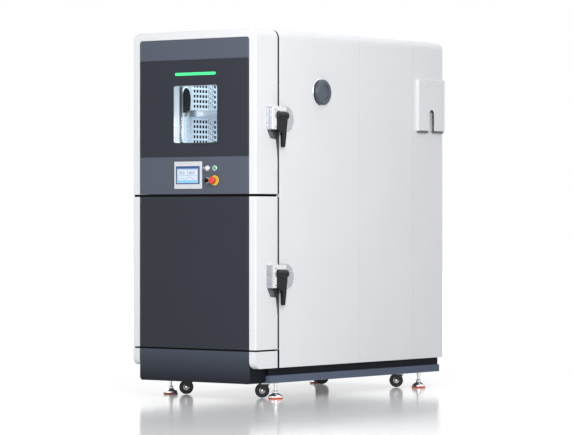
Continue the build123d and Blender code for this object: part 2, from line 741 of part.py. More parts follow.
LIGHT_Z = WINDOW_Z + WINDOW_HEIGHT / 2 + LIGHT_RISE


def control_holes(start, length):
    """Cut the screen's and the switches' holes through a sheet, from a Y place forward."""
    prism(
        facing_front(start),
        (HMI_X, HMI_Z),
        hmi_body_width + 1,
        hmi_body_height + 1,
        HMI_RADIUS,
        length,
        Mode.SUBTRACT,
    )
    for spot in CONTROL_SPOTS.values():
        rod(facing_front(start), spot, BARREL_RADIUS + 0.2, length, Mode.SUBTRACT)


def window_hole(start, length):
    """Cut the window sleeve's hole through a sheet, from a Y place forward."""
    prism(
        facing_front(start),
        (WINDOW_X, WINDOW_Z),
        sleeve_width + 0.4,
        sleeve_height + 0.4,
        sleeve_radius + 0.2,
        length,
        Mode.SUBTRACT,
    )


pan_depth = DOOR_DEPTH - PANEL_THICKNESS - SHEET
with BuildPart() as upper_door_frame:
    body_section(DOOR_BACK, HALF, UPPER_BOTTOM, HEIGHT, TOP_RADIUS, DOOR_DEPTH)
    front_rim = upper_door_frame.faces().sort_by(Axis.Y)[0].edges()
    fillet([edge for edge in front_rim if edge.center().Z > UPPER_BOTTOM + 1], FRONT_EDGE_RADIUS)
    body_section(
        DOOR_BACK,
        HALF - SHEET,
        UPPER_BOTTOM + SHEET,
        HEIGHT - SHEET,
        TOP_RADIUS - SHEET,
        pan_depth,
        Mode.SUBTRACT,
    )
    body_section(
        FRONT + PANEL_THICKNESS,
        PANEL_HALF,
        UPPER_BOTTOM - 1,
        HEIGHT - TOP_STRIP,
        PANEL_RADIUS,
        PANEL_THICKNESS + 1,
        Mode.SUBTRACT,
    )
    window_hole(FRONT + 20, 20)
    control_holes(FRONT + 20, 20)
save(upper_door_frame, "upper_door_frame")

with BuildPart() as lower_door_frame:
    slab((-HALF, FRONT, LOWER_BOTTOM), (HALF, DOOR_BACK, LOWER_TOP))
    front_rim = lower_door_frame.faces().sort_by(Axis.Y)[0].edges()
    fillet(front_rim.filter_by(Axis.Z), FRONT_EDGE_RADIUS)
    slab(
        (-HALF + SHEET, DOOR_BACK - pan_depth, LOWER_BOTTOM + SHEET),
        (HALF - SHEET, DOOR_BACK, LOWER_TOP - SHEET),
        Mode.SUBTRACT,
    )
    slab(
        (-PANEL_HALF, FRONT - 1, LOWER_BOTTOM - 1),
        (PANEL_HALF, FRONT + PANEL_THICKNESS, LOWER_TOP + 1),
        Mode.SUBTRACT,
    )
save(lower_door_frame, "lower_door_frame")

with BuildPart() as upper_door_panel:
    body_section(
        FRONT + PANEL_THICKNESS,
        PANEL_HALF - PANEL_CLEARANCE,
        UPPER_BOTTOM,
        HEIGHT - TOP_STRIP - PANEL_CLEARANCE,
        PANEL_RADIUS - PANEL_CLEARANCE,
        PANEL_THICKNESS,
    )
    panel_rim = upper_door_panel.faces().sort_by(Axis.Y)[0].edges()
    chamfer(panel_rim.filter_by(Axis.Z), PANEL_BEVEL_DEPTH, PANEL_BEVEL)
    # Grooves that part the header band and the control band from the middle
    for z in (HEIGHT - TOP_STRIP - HEADER_BAND_HEIGHT, UPPER_BOTTOM + CONTROL_BAND_HEIGHT):
        slab(
            (-HALF, FRONT - 1, z - GROOVE_WIDTH / 2),
            (HALF, FRONT + GROOVE_DEPTH, z + GROOVE_WIDTH / 2),
            Mode.SUBTRACT,
        )
    window_hole(FRONT + 20, 30)
    control_holes(FRONT + 20, 30)
    prism(
        facing_front(FRONT + 20),
        (WINDOW_X, LIGHT_Z),
        LIGHT_LENGTH + 1,
        LIGHT_HEIGHT + 1,
        LIGHT_HEIGHT / 2 + 0.4,
        30,
        Mode.SUBTRACT,
    )
save(upper_door_panel, "upper_door_panel")

with BuildPart() as lower_door_panel:
    inner = PANEL_HALF - PANEL_CLEARANCE
    slab((-inner, FRONT, LOWER_BOTTOM), (inner, FRONT + PANEL_THICKNESS, LOWER_TOP))
    panel_rim = lower_door_panel.faces().sort_by(Axis.Y)[0].edges()
    chamfer(panel_rim.filter_by(Axis.Z), PANEL_BEVEL_DEPTH, PANEL_BEVEL)
save(lower_door_panel, "lower_door_panel")

# Stainless inner pans of the doors, with a plug that enters the workroom

plug_half = ROOM_HALF - SHEET - PLUG_CLEARANCE
recess_front = FRONT + WINDOW_FRAME_DEPTH + WINDOW_SEAL_DEPTH
recess_size = (RECESS_WIDTH, WINDOW_HEIGHT + 2 * RECESS_MARGIN)
plug_spans = {
    name: (room[0] + SHEET + PLUG_CLEARANCE, room[1] - SHEET - PLUG_CLEARANCE)
    for name, room in rooms.items()
}

with BuildPart() as upper_door_liner:
    body_section(
        DOOR_BACK,
        HALF - SHEET,
        UPPER_BOTTOM + SHEET,
        HEIGHT - SHEET,
        TOP_RADIUS - SHEET,
        SHEET,
    )
    low, high = plug_spans["upper"]
    slab((-plug_half, DOOR_BACK - SHEET, low), (plug_half, PLUG_BACK, high))
    slab(
        (-plug_half + SHEET, DOOR_BACK - SHEET - 1, low + SHEET),
        (plug_half - SHEET, PLUG_BACK - SHEET, high - SHEET),
        Mode.SUBTRACT,
    )
    # Deep recess behind the window, wider than the glass
    recess = facing_front(PLUG_BACK)
    recess_length = PLUG_BACK - recess_front
    prism(
        recess,
        (WINDOW_X, WINDOW_Z),
        recess_size[0] + 2 * SHEET,
        recess_size[1] + 2 * SHEET,
        20 + SHEET,
        recess_length,
    )
    prism(
        facing_front(PLUG_BACK + 1),
        (WINDOW_X, WINDOW_Z),
        recess_size[0],
        recess_size[1],
        20,
        recess_length + 1 - SHEET,
        Mode.SUBTRACT,
    )
    prism(
        facing_front(recess_front + 10),
        (WINDOW_X, WINDOW_Z),
        WINDOW_WIDTH,
        WINDOW_HEIGHT,
        WINDOW_RADIUS,
        20,
        Mode.SUBTRACT,
    )
save(upper_door_liner, "upper_door_liner")

with BuildPart() as lower_door_liner:
    slab(
        (-HALF + SHEET, DOOR_BACK - SHEET, LOWER_BOTTOM + SHEET),
        (HALF - SHEET, DOOR_BACK, LOWER_TOP - SHEET),
    )
    low, high = plug_spans["lower"]
    slab((-plug_half, DOOR_BACK - SHEET, low), (plug_half, PLUG_BACK, high))
    slab(
        (-plug_half + SHEET, DOOR_BACK - SHEET - 1, low + SHEET),
        (plug_half - SHEET, PLUG_BACK - SHEET, high - SHEET),
        Mode.SUBTRACT,
    )
save(lower_door_liner, "lower_door_liner")

for name, (low, high) in plug_spans.items():
    with BuildPart() as gasket:
        depth = SEAM - GASKET_CLEARANCE
        middle = (0, (low + high) / 2)
        outer_width = 2 * (plug_half + GASKET_WIDTH)
        outer_height = high - low + 2 * GASKET_WIDTH
        seat = facing_front(DOOR_BACK + depth)
        prism(seat, middle, outer_width, outer_height, GASKET_WIDTH, depth)
        slab(
            (-plug_half - 0.3, DOOR_BACK - 1, low - 0.3),
            (plug_half + 0.3, CABINET_FRONT + 1, high + 0.3),
            Mode.SUBTRACT,
        )
    save(gasket, f"{name}_door_gasket")

# Window, status light, operator screen and switches

with BuildPart() as window_frame:
    # Bright sleeve in front, with the dark seal of the inner pane behind it
    sleeve_depth = WINDOW_FRAME_DEPTH + WINDOW_SEAL_DEPTH + 1.5
    sleeve_plane = facing_front(recess_front)
    prism(sleeve_plane, (WINDOW_X, WINDOW_Z), sleeve_width, sleeve_height, sleeve_radius, sleeve_depth)
    prism(
        facing_front(recess_front + 1),
        (WINDOW_X, WINDOW_Z),
        WINDOW_WIDTH,
        WINDOW_HEIGHT,
        WINDOW_RADIUS,
        sleeve_depth + 2,
        Mode.SUBTRACT,
    )
save(window_frame, "window_frame")

with BuildPart() as window_glass:
    for pane_back in (FRONT + GLASS_THICKNESS + 4, recess_front - 5):
        prism(
            facing_front(pane_back),
            (WINDOW_X, WINDOW_Z),
            WINDOW_WIDTH - 2 * GLASS_CLEARANCE,
            WINDOW_HEIGHT - 2 * GLASS_CLEARANCE,
            WINDOW_RADIUS,
            GLASS_THICKNESS,
        )
save(window_glass, "window_glass")

with BuildPart() as status_light:
    light_plane = facing_front(FRONT + PANEL_THICKNESS)
    prism(
        light_plane,
        (WINDOW_X, LIGHT_Z),
        LIGHT_LENGTH,
        LIGHT_HEIGHT,
        LIGHT_HEIGHT / 2 - 0.05,
        PANEL_THICKNESS + LIGHT_PROUD,
    )
save(status_light, "status_light")

with BuildPart() as hmi_housing:
    prism(facing_front(FRONT), (HMI_X, HMI_Z), HMI_WIDTH, HMI_HEIGHT, HMI_RADIUS, HMI_PROUD)
    chamfer(hmi_housing.faces().sort_by(Axis.Y)[0].edges(), 2)
    prism(
        facing_front(FRONT + HMI_BODY_DEPTH),
        (HMI_X, HMI_Z),
        hmi_body_width,
        hmi_body_height,
        HMI_RADIUS,
        HMI_BODY_DEPTH,
    )
    # Seat for the screen and the grooves above and below it
    slab(
        (HMI_X - SCREEN_WIDTH / 2, FRONT - HMI_PROUD - 1, HMI_Z - SCREEN_HEIGHT / 2),
        (HMI_X + SCREEN_WIDTH / 2, FRONT - HMI_PROUD + SCREEN_RECESS, HMI_Z + SCREEN_HEIGHT / 2),
        Mode.SUBTRACT,
    )
    for offset in (-1, 1):
        groove_z = HMI_Z + offset * (SCREEN_HEIGHT + HMI_HEIGHT) / 4
        slab(
            (HMI_X - SCREEN_WIDTH / 2, FRONT - HMI_PROUD - 1, groove_z - 3),
            (HMI_X + SCREEN_WIDTH / 2, FRONT - HMI_PROUD + 1, groove_z + 3),
            Mode.SUBTRACT,
        )
save(hmi_housing, "hmi_housing")

with BuildPart() as hmi_screen:
    screen_back = FRONT - HMI_PROUD + SCREEN_RECESS
    slab(
        (HMI_X - SCREEN_WIDTH / 2, screen_back - SCREEN_THICKNESS, HMI_Z - SCREEN_HEIGHT / 2),
        (HMI_X + SCREEN_WIDTH / 2, screen_back, HMI_Z + SCREEN_HEIGHT / 2),
    )
save(hmi_screen, "hmi_screen")

with BuildPart() as switch_collars:
    for name, spot in CONTROL_SPOTS.items():
        ring = STOP_RING_RADIUS if name == "emergency_stop" else COLLAR_RADIUS
        rod(facing_front(FRONT + BARREL_DEPTH), spot, BARREL_RADIUS, BARREL_DEPTH)
        rod(facing_front(FRONT), spot, ring, COLLAR_PROUD)
        rod(
            facing_front(FRONT + STEM_DEPTH + 12),
            spot,
            BUTTON_RADIUS + RUNNING_CLEARANCE,
            STEM_DEPTH + 12 + COLLAR_PROUD + 1,
            Mode.SUBTRACT,
        )
    chamfer(switch_collars.faces().group_by(Axis.Y)[0].edges(), 1.2)
save(switch_collars, "switch_collars")

with BuildPart() as start_button:
    spot = CONTROL_SPOTS["start_button"]
    rod(facing_front(FRONT + STEM_DEPTH), spot, BUTTON_RADIUS, STEM_DEPTH + BUTTON_PROUD)
    fillet(start_button.edges().group_by(Axis.Y)[0], 2)
save(start_button, "start_button")

with BuildPart() as emergency_stop:
    spot = CONTROL_SPOTS["emergency_stop"]
    rod(facing_front(FRONT + STEM_DEPTH), spot, BUTTON_RADIUS, STEM_DEPTH + STOP_PROUD - STOP_CAP)
    rod(facing_front(FRONT - STOP_PROUD + STOP_CAP), spot, STOP_RADIUS, STOP_CAP)
    fillet(emergency_stop.edges().group_by(Axis.Y)[0], 8)
save(emergency_stop, "emergency_stop")

with BuildPart() as key_switch:
    spot = CONTROL_SPOTS["key_switch"]
    rod(facing_front(FRONT + STEM_DEPTH), spot, BUTTON_RADIUS, STEM_DEPTH + COLLAR_PROUD + 1)
    # Key with a round bow
    slab(
        (spot[0] - 1.2, FRONT - KNOB_PROUD, spot[1] - 4),
        (spot[0] + 1.2, FRONT - COLLAR_PROUD - 1, spot[1] + 4),
    )
    rod(facing_right(spot[0] - 1.4), (FRONT - KNOB_PROUD, spot[1]), 10, 2.8)
    rod(facing_right(spot[0] - 2), (FRONT - KNOB_PROUD - 2, spot[1]), 3, 4, Mode.SUBTRACT)
save(key_switch, "key_switch")

with BuildPart() as selector_knob:
    spot = CONTROL_SPOTS["selector_knob"]
    rod(facing_front(FRONT + STEM_DEPTH), spot, BUTTON_RADIUS, STEM_DEPTH + COLLAR_PROUD + 1)
    rod(facing_front(FRONT - COLLAR_PROUD - 1), spot, 12, 6)
    prism(facing_front(FRONT - COLLAR_PROUD - 6), spot, 8, 24, 3.9, KNOB_PROUD - COLLAR_PROUD - 6)
save(selector_knob, "selector_knob")

# Latches: housing with an arm over the seam, pull lever and strike shield

latch_front = FRONT + LATCH_LEAD
latch_back = latch_front + LATCH_LENGTH
arm_end = latch_back + ARM_LENGTH
lever_x = HALF + LEVER_HUB_OUT
for name, top in latch_tops.items():
    hub_z = top - ARM_HEIGHT - 3 - LEVER_HUB_RADIUS
    bottom = top - LATCH_HEIGHT
    with BuildPart() as latch_housing:
        # Base plate that tapers away below the housing
        with BuildSketch(facing_right(HALF)):
            with BuildLine():
                Polyline(
                    (latch_front - 4, top + 2),
                    (latch_back + 10, top + 6),
                    (DOOR_BACK - 0.5, top + 6),
                    (DOOR_BACK - 0.5, bottom - 150),
                    (DOOR_BACK - 6, bottom - 110),
                    (DOOR_BACK - 18, bottom - 50),
                    (latch_front + 28, bottom - 46),
                    (latch_front - 4, bottom + 8),
                    close=True,
                )
            make_face()
        extrude(amount=LATCH_PLATE)
        with BuildSketch(facing_right(HALF)):
            with Locations(((latch_front + latch_back) / 2, (top + bottom) / 2)):
                RectangleRounded(LATCH_LENGTH, LATCH_HEIGHT, 5)
        extrude(amount=LATCH_PROUD)
        fillet(latch_housing.faces().sort_by(Axis.X)[-1].edges(), 4)
        # Flutes down the front
        for x in (HALF + 15, HALF + 24, HALF + 33):
            slab(
                (x - 1.5, latch_front - 1, bottom + 6),
                (x + 1.5, latch_front + 1.6, top - 6),
                Mode.SUBTRACT,
            )
        with BuildSketch(facing_right(HALF + LATCH_PROUD - ARM_THICKNESS)):
            with Locations(((latch_back - 10 + arm_end) / 2, top - ARM_HEIGHT / 2)):
                RectangleRounded(ARM_LENGTH + 10, ARM_HEIGHT, 5)
        extrude(amount=ARM_THICKNESS - 1)
        # Bore for the lever's pin
        rod(
            facing_front(latch_back + 1),
            (lever_x, hub_z),
            LEVER_PIN_RADIUS + PIVOT_CLEARANCE,
            31,
            Mode.SUBTRACT,
        )
    save(latch_housing, f"{name}_latch_housing")

    with BuildPart() as latch_lever:
        hub_start = latch_back + 0.5
        hub_end = SEAM_Y + 31
        rod(facing_front(hub_end), (lever_x, hub_z), LEVER_HUB_RADIUS, hub_end - hub_start)
        # Blade below the hub, drawn from the side and rounded at the tip
        blade_front, blade_back = SEAM_Y - 8, SEAM_Y + 22
        tip_z = hub_z - LEVER_DROP
        with BuildSketch(facing_right(lever_x - 9)):
            with BuildLine():
                Polyline(
                    (hub_start, hub_z),
                    (hub_start, hub_z - 68),
                    (hub_start + 20, hub_z - 82),
                    (blade_front - 4, hub_z - 90),
                    (blade_front, hub_z - 102),
                    (blade_front + 2, tip_z + 8),
                )
                ThreePointArc(
                    (blade_front + 2, tip_z + 8),
                    (blade_front + 11, tip_z),
                    (blade_front + 20, tip_z + 8),
                )
                Polyline(
                    (blade_front + 20, tip_z + 8),
                    (blade_back + 2, hub_z - 88),
                    (blade_back + 3, hub_z - 66),
                )
                ThreePointArc(
                    (blade_back + 3, hub_z - 66),
                    (blade_back + 10, hub_z - 22),
                    (hub_end, hub_z),
                )
                Line((hub_end, hub_z), (hub_start, hub_z))
            make_face()
        extrude(amount=18)
        rod(facing_front(hub_start), (lever_x, hub_z), LEVER_PIN_RADIUS, 24)
    save(latch_lever, f"{name}_latch_lever")

with BuildPart() as latch_strikes:
    for top in latch_tops.values():
        back = CABINET_FRONT + STRIKE_LENGTH
        with BuildSketch(facing_right(HALF)):
            with BuildLine():
                Polyline(
                    (CABINET_FRONT + 60, top - 134),
                    (CABINET_FRONT + 0.5, top - 156),
                    (CABINET_FRONT + 0.5, top + 6),
                    (CABINET_FRONT + 52, top + 4),
                )
                ThreePointArc(
                    (CABINET_FRONT + 52, top + 4),
                    (back, top - 66),
                    (CABINET_FRONT + 60, top - 134),
                )
            make_face()
        extrude(amount=LATCH_PLATE)
    chamfer(latch_strikes.faces().group_by(Axis.X)[-1].edges(), 3)
save(latch_strikes, "latch_strikes")

# Hinges: pinned cabinet leaves and bored door leaves

hinge_x = -HALF - HINGE_OUT
door_spans = {"upper": (UPPER_BOTTOM, HEIGHT), "lower": (LOWER_BOTTOM, LOWER_TOP)}
hinge_heights = {
    name: (span[0] + HINGE_INSET, span[1] - HINGE_INSET - LEAF_HEIGHT / 2)
    for name, span in door_spans.items()
}

with BuildPart() as cabinet_hinge_leaves:
    for heights in hinge_heights.values():
        for z in heights:
            plate_low = z - LEAF_HEIGHT / 2
            slab(
                (-HALF - LEAF_THICKNESS, CABINET_FRONT + 2, plate_low),
                (-HALF, CABINET_FRONT + LEAF_LENGTH, plate_low + LEAF_HEIGHT),
            )
            rod(Plane.XY.offset(z - KNUCKLE_HEIGHT), (hinge_x, SEAM_Y), KNUCKLE_RADIUS, KNUCKLE_HEIGHT)
            slab(
                (hinge_x, SEAM_Y, z - KNUCKLE_HEIGHT),
                (-HALF - 1, CABINET_FRONT + 12, z),
            )
            rod(
                Plane.XY.offset(z - 1),
                (hinge_x, SEAM_Y),
                HINGE_PIN_RADIUS,
                KNUCKLE_HEIGHT + KNUCKLE_GAP + 7,
            )
save(cabinet_hinge_leaves, "cabinet_hinge_leaves")

for name, heights in hinge_heights.items():
    with BuildPart() as hinge_leaves:
        for z in heights:
            start = z + KNUCKLE_GAP
            slab(
                (-HALF - LEAF_THICKNESS, DOOR_BACK - LEAF_LENGTH, z - LEAF_HEIGHT / 2),
                (-HALF, DOOR_BACK - 2, z + LEAF_HEIGHT / 2),
            )
            rod(Plane.XY.offset(start), (hinge_x, SEAM_Y), KNUCKLE_RADIUS, KNUCKLE_HEIGHT)
            slab((hinge_x, DOOR_BACK - 12, start), (-HALF - 1, SEAM_Y, start + KNUCKLE_HEIGHT))
            rod(
                Plane.XY.offset(start - 1),
                (hinge_x, SEAM_Y),
                HINGE_PIN_RADIUS + PIVOT_CLEARANCE,
                KNUCKLE_HEIGHT + 2,
                Mode.SUBTRACT,
            )
    save(hinge_leaves, f"{name}_hinge_leaves")

# Castors: swivel forks and wheels

corner_names = ("front_left", "front_right", "rear_left", "rear_right")
axle_z = WHEEL_GAP + WHEEL_RADIUS
head_top = GROUND_CLEARANCE - 1
for name, (x, y) in zip(corner_names, castor_spots):
    wheel_y = y + CASTOR_TRAIL
    with BuildPart() as fork:
        rod(Plane.XY.offset(head_top - 3), (x, y), STEM_RADIUS + 14, 3)
        rod(Plane.XY.offset(head_top - 3), (x, y), STEM_RADIUS, 38)
        leg_gap = WHEEL_WIDTH / 2 + 2
        for side in (-1, 1):
            near, far = sorted((x + side * leg_gap, x + side * (leg_gap + FORK_LEG)))
            with BuildSketch(facing_right(near)):
                with BuildLine():
                    Polyline(
                        (y - 22, head_top - 1),
                        (y - 22, head_top - 12),
                        (wheel_y - 11, axle_z - 4),
                        (wheel_y, axle_z - 12),
                        (wheel_y + 11, axle_z - 4),
                        (y + 26, head_top - 12),
                        (y + 26, head_top - 1),
                        close=True,
                    )
                make_face()
            extrude(amount=FORK_LEG)
        slab((x - leg_gap - 1, y - 22, head_top - 5), (x + leg_gap + 1, y + 26, head_top - 1))
        rod(
            facing_right(x - leg_gap - FORK_LEG - 3),
            (wheel_y, axle_z),
            AXLE_RADIUS,
            2 * (leg_gap + FORK_LEG + 3),
        )
    save_turned(fork, f"{name}_castor_fork", (x, y))

    with BuildPart() as wheel:
        rod(facing_right(x - WHEEL_WIDTH / 2), (wheel_y, axle_z), WHEEL_RADIUS, WHEEL_WIDTH)
        fillet(wheel.edges().filter_by(GeomType.CIRCLE), 4)
        for side in (-1, 1):
            face = facing_right(x + side * WHEEL_WIDTH / 2)
            rod(face, (wheel_y, axle_z), WHEEL_RADIUS - 10, -side * 5, Mode.SUBTRACT)
            rod(face, (wheel_y, axle_z), 11, -side * 5)
        rod(
            facing_right(x - WHEEL_WIDTH),
            (wheel_y, axle_z),
            AXLE_RADIUS + PIVOT_CLEARANCE,
            2 * WHEEL_WIDTH,
            Mode.SUBTRACT,
        )
    save_turned(wheel, f"{name}_castor_wheel", (x, y))

# Levelling feet: pad, domed disc, stud and lock nut

FOOT_PAD = 9.0
for name, (x, y) in zip(corner_names, foot_spots):
    with BuildPart() as foot:
        with BuildSketch(Plane.XZ.offset(-y)) as half_section:
            with BuildLine():
                Polyline(
                    (0, 0),
                    (FOOT_RADIUS - 2, 0),
                    (FOOT_RADIUS, 3),
                    (FOOT_RADIUS, FOOT_PAD),
                    (FOOT_RADIUS - 1, FOOT_PAD + 8),
                    (FOOT_RADIUS - 6, FOOT_PAD + 13),
                    (20, FOOT_PAD + 19),
                    (15, FOOT_PAD + 24),
                    (15, FOOT_PAD + 34),
                    (STUD_RADIUS, FOOT_PAD + 38),
                    (STUD_RADIUS, GROUND_CLEARANCE + 44),
                    (0, GROUND_CLEARANCE + 44),
                    close=True,
                )
            make_face()
        revolve(axis=Axis((0, y, 0), (0, 0, 1)))
        foot.part.position = (x, 0, 0)
        # Lock nut just under the frame
        with BuildSketch(Plane.XY.offset(GROUND_CLEARANCE - 12.3)):
            with Locations((x, y)):
                RegularPolygon(15, 6)
        extrude(amount=12)
    save(foot, f"{name}_foot")
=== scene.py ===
"""Looks of a two-compartment environmental test chamber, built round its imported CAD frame.

Metres. X runs to the right seen from the front, Y to the back and Z up.
"""

import math

import bmesh
import bpy
from mathutils import Matrix, Vector


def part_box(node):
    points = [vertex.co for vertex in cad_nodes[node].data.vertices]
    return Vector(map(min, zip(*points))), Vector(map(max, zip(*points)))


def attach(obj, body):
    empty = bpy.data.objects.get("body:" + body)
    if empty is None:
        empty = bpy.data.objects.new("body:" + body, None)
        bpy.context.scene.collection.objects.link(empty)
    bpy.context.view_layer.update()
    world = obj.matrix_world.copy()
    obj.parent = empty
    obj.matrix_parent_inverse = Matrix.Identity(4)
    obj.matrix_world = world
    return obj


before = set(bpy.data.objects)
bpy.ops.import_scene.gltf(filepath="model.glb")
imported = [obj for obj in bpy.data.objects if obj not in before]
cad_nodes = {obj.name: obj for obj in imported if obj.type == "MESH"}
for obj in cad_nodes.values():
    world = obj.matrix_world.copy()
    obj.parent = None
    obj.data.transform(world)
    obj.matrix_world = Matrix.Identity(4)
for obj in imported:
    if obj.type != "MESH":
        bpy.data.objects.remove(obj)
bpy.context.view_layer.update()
scene = bpy.context.scene

CORNERS = ("front_left", "front_right", "rear_left", "rear_right")
LEVELS = ("upper", "lower")

# Colours, as linear light
WHITE_PAINT = (0.83, 0.84, 0.855)
DARK_PAINT = (0.022, 0.025, 0.038)
BAND_PAINT = (0.088, 0.102, 0.136)
# The plinth's coat: its lip as lit, and its recess near black as painted shade
LIP_PAINT = (0.115, 0.142, 0.20)
RECESS_PAINTED_SHADE = (0.006, 0.008, 0.014)
STEEL = (0.74, 0.77, 0.80)
CHROME = (0.86, 0.87, 0.89)
DARK_ZINC = (0.030, 0.032, 0.038)
HUB_GREY = (0.5, 0.5, 0.52)
TREAD_BLACK = (0.016, 0.018, 0.022)
BLACK = (0.008, 0.009, 0.012)
ORANGE = (0.72, 0.10, 0.02)
RED = (0.75, 0.05, 0.02)
YELLOW = (0.85, 0.60, 0.06)
GREEN = (0.03, 0.55, 0.20)
LIGHT_GREEN = (0.05, 0.75, 0.22)

PAINT_SPECULAR = 0.3
COAT_ROUGHNESS = 0.1
GLASS_INDEX = 1.12
COVER_RETURN = 0.006


# Material helpers


def add_node(tree, kind, inputs=None, **settings):
    """A shader node with its settings, and its inputs as values or as links."""
    node = tree.nodes.new(kind)
    for key, value in settings.items():
        setattr(node, key, value)
    for key, value in (inputs or {}).items():
        if isinstance(value, bpy.types.NodeSocket):
            tree.links.new(value, node.inputs[key])
        else:
            node.inputs[key].default_value = value
    return node


def maths(tree, operation, first, second=0.0):
    """The output of one Math node."""
    node = add_node(tree, "ShaderNodeMath", {0: first, 1: second}, operation=operation)
    return node.outputs[0]


def blend_colours(tree, factor, first, second):
    """The output of a colour mix; either colour may be a value or a socket."""
    node = add_node(tree, "ShaderNodeMix", data_type="RGBA")
    for index, value in ((0, factor), (6, first), (7, second)):
        if isinstance(value, bpy.types.NodeSocket):
            tree.links.new(value, node.inputs[index])
        elif index == 0:
            node.inputs[index].default_value = value
        else:
            node.inputs[index].default_value = (*value, 1)
    return node.outputs[2]


def coordinates(tree):
    """Places on the object: the vector, and its X, Y and Z."""
    vector = add_node(tree, "ShaderNodeTexCoord").outputs["Object"]
    parts = add_node(tree, "ShaderNodeSeparateXYZ", {0: vector}).outputs
    return vector, parts[0], parts[1], parts[2]


def surface(name, roughness, metallic=0.0, coat=0.0):
    """A new material with its tree and its Principled shader."""
    material = bpy.data.materials.new(name)
    material.use_nodes = True
    tree = material.node_tree
    shader = tree.nodes["Principled BSDF"]
    shader.inputs["Roughness"].default_value = roughness
    shader.inputs["Metallic"].default_value = metallic
    shader.inputs["Coat Weight"].default_value = coat
    shader.inputs["Coat Roughness"].default_value = COAT_ROUGHNESS
    return material, tree, shader


def noise(tree, vector, scale, detail=3.0, stretch=None):
    """A noise value, on places that may be stretched first."""
    if stretch:
        vector = add_node(tree, "ShaderNodeMapping", {0: vector, "Scale": stretch}).outputs[0]
    inputs = {"Vector": vector, "Scale": scale, "Detail": detail}
    return add_node(tree, "ShaderNodeTexNoise", inputs).outputs["Fac"]


def set_bump(tree, shader, height, strength, distance, edge=0.0):
    """Bump from a height, over rounded edges where edge is a radius."""
    inputs = {"Height": height, "Strength": strength, "Distance": distance}
    if edge:
        rounded = add_node(tree, "ShaderNodeBevel", {"Radius": edge}, samples=4)
        inputs["Normal"] = rounded.outputs[0]
    bump = add_node(tree, "ShaderNodeBump", inputs)
    tree.links.new(bump.outputs[0], shader.inputs["Normal"])


def vary(tree, vector, colour, amount, scale=2.5):
    """A colour that wanders a little over the surface."""
    darker = tuple(c * (1 - amount) for c in colour)
    lighter = tuple(min(1, c * (1 + amount)) for c in colour)
    return blend_colours(tree, noise(tree, vector, scale), darker, lighter)


def set_roughness(tree, shader, vector, low, high, scale):
    """Roughness that wanders between two values."""
    spread = maths(tree, "MULTIPLY", noise(tree, vector, scale), high - low)
    tree.links.new(maths(tree, "ADD", spread, low), shader.inputs["Roughness"])


# Materials


def powder_coat(name, colour, gloss=0.34, edge=0.0018, amount=0.03):
    """Powder-coated sheet: fine orange peel, soft variation and rounded folds."""
    material, tree, shader = surface(name, gloss)
    shader.inputs["Specular IOR Level"].default_value = PAINT_SPECULAR
    vector = coordinates(tree)[0]
    tree.links.new(vary(tree, vector, colour, amount), shader.inputs["Base Color"])
    set_roughness(tree, shader, vector, gloss - 0.05, gloss + 0.07, 6.0)
    set_bump(tree, shader, noise(tree, vector, 700.0), 0.10, 0.0004, edge)
    return material


def banded_coat(name, lower_colour, upper_colour, edges, specular=PAINT_SPECULAR):
    """Dark coat with lighter bands between pairs of heights."""
    material, tree, shader = surface(name, 0.36)
    vector, _, _, height = coordinates(tree)
    mask = None
    for low, high in edges:
        above = maths(tree, "GREATER_THAN", height, low)
        below = maths(tree, "LESS_THAN", height, high)
        band = maths(tree, "MULTIPLY", above, below)
        mask = band if mask is None else maths(tree, "MAXIMUM", mask, band)
    dark = vary(tree, vector, lower_colour, 0.08, 1.6)
    light = vary(tree, vector, upper_colour, 0.05, 1.6)
    tree.links.new(blend_colours(tree, mask, dark, light), shader.inputs["Base Color"])
    set_roughness(tree, shader, vector, 0.32, 0.45, 5.0)
    set_bump(tree, shader, noise(tree, vector, 900.0), 0.12, 0.0004, 0.0012)
    shader.inputs["Specular IOR Level"].default_value = specular
    return material


def brushed(name, colour, direction, roughness=0.28):
    """Brushed stainless sheet, with its grain along one axis."""
    material, tree, shader = surface(name, roughness, metallic=1.0)
    vector = coordinates(tree)[0]
    stretch = tuple(2.0 if axis == direction else 320.0 for axis in "XYZ")
    grain = noise(tree, vector, 1.0, 4.0, stretch)
    darker = tuple(c * 0.86 for c in colour)
    tree.links.new(blend_colours(tree, grain, darker, colour), shader.inputs["Base Color"])
    spread = maths(tree, "MULTIPLY", grain, 0.16)
    tree.links.new(maths(tree, "ADD", spread, roughness - 0.08), shader.inputs["Roughness"])
    set_bump(tree, shader, grain, 0.08, 0.0002, 0.0008)
    return material


def plated(name, colour=CHROME, roughness=0.12, edge=0.0012):
    """Bright plated metal with faint cloudiness."""
    material, tree, shader = surface(name, roughness, metallic=1.0)
    vector = coordinates(tree)[0]
    tree.links.new(vary(tree, vector, colour, 0.05, 30.0), shader.inputs["Base Color"])
    set_roughness(tree, shader, vector, roughness - 0.04, roughness + 0.08, 60.0)
    set_bump(tree, shader, noise(tree, vector, 180.0), 0.03, 0.0002, edge)
    return material


def latch_plating_with_painted_shade(name, plate_limit, face_limit):
    """Plated latch: a bright housing whose front face is painted a shaded grey, over a base plate
    painted dark as the housing's cast shadow.
    """
    material, tree, shader = surface(name, 0.3, metallic=0.85)
    vector, _, depth, height = coordinates(tree)
    above = maths(tree, "GREATER_THAN", height, plate_limit)
    behind = maths(tree, "GREATER_THAN", depth, face_limit)
    # Painted shade on the housing's front face, and painted shadow on the base plate below the
    # housing.
    front = vary(tree, vector, (0.52, 0.54, 0.57), 0.08, 40.0)
    bright = vary(tree, vector, (0.92, 0.93, 0.94), 0.04, 40.0)
    painted_shadow_plate = vary(tree, vector, (0.17, 0.18, 0.20), 0.10, 40.0)
    housing = blend_colours(tree, behind, front, bright)
    tree.links.new(blend_colours(tree, above, painted_shadow_plate, housing), shader.inputs["Base Color"])
    set_roughness(tree, shader, vector, 0.22, 0.36, 60.0)
    set_bump(tree, shader, noise(tree, vector, 250.0), 0.05, 0.0003, 0.003)
    return material


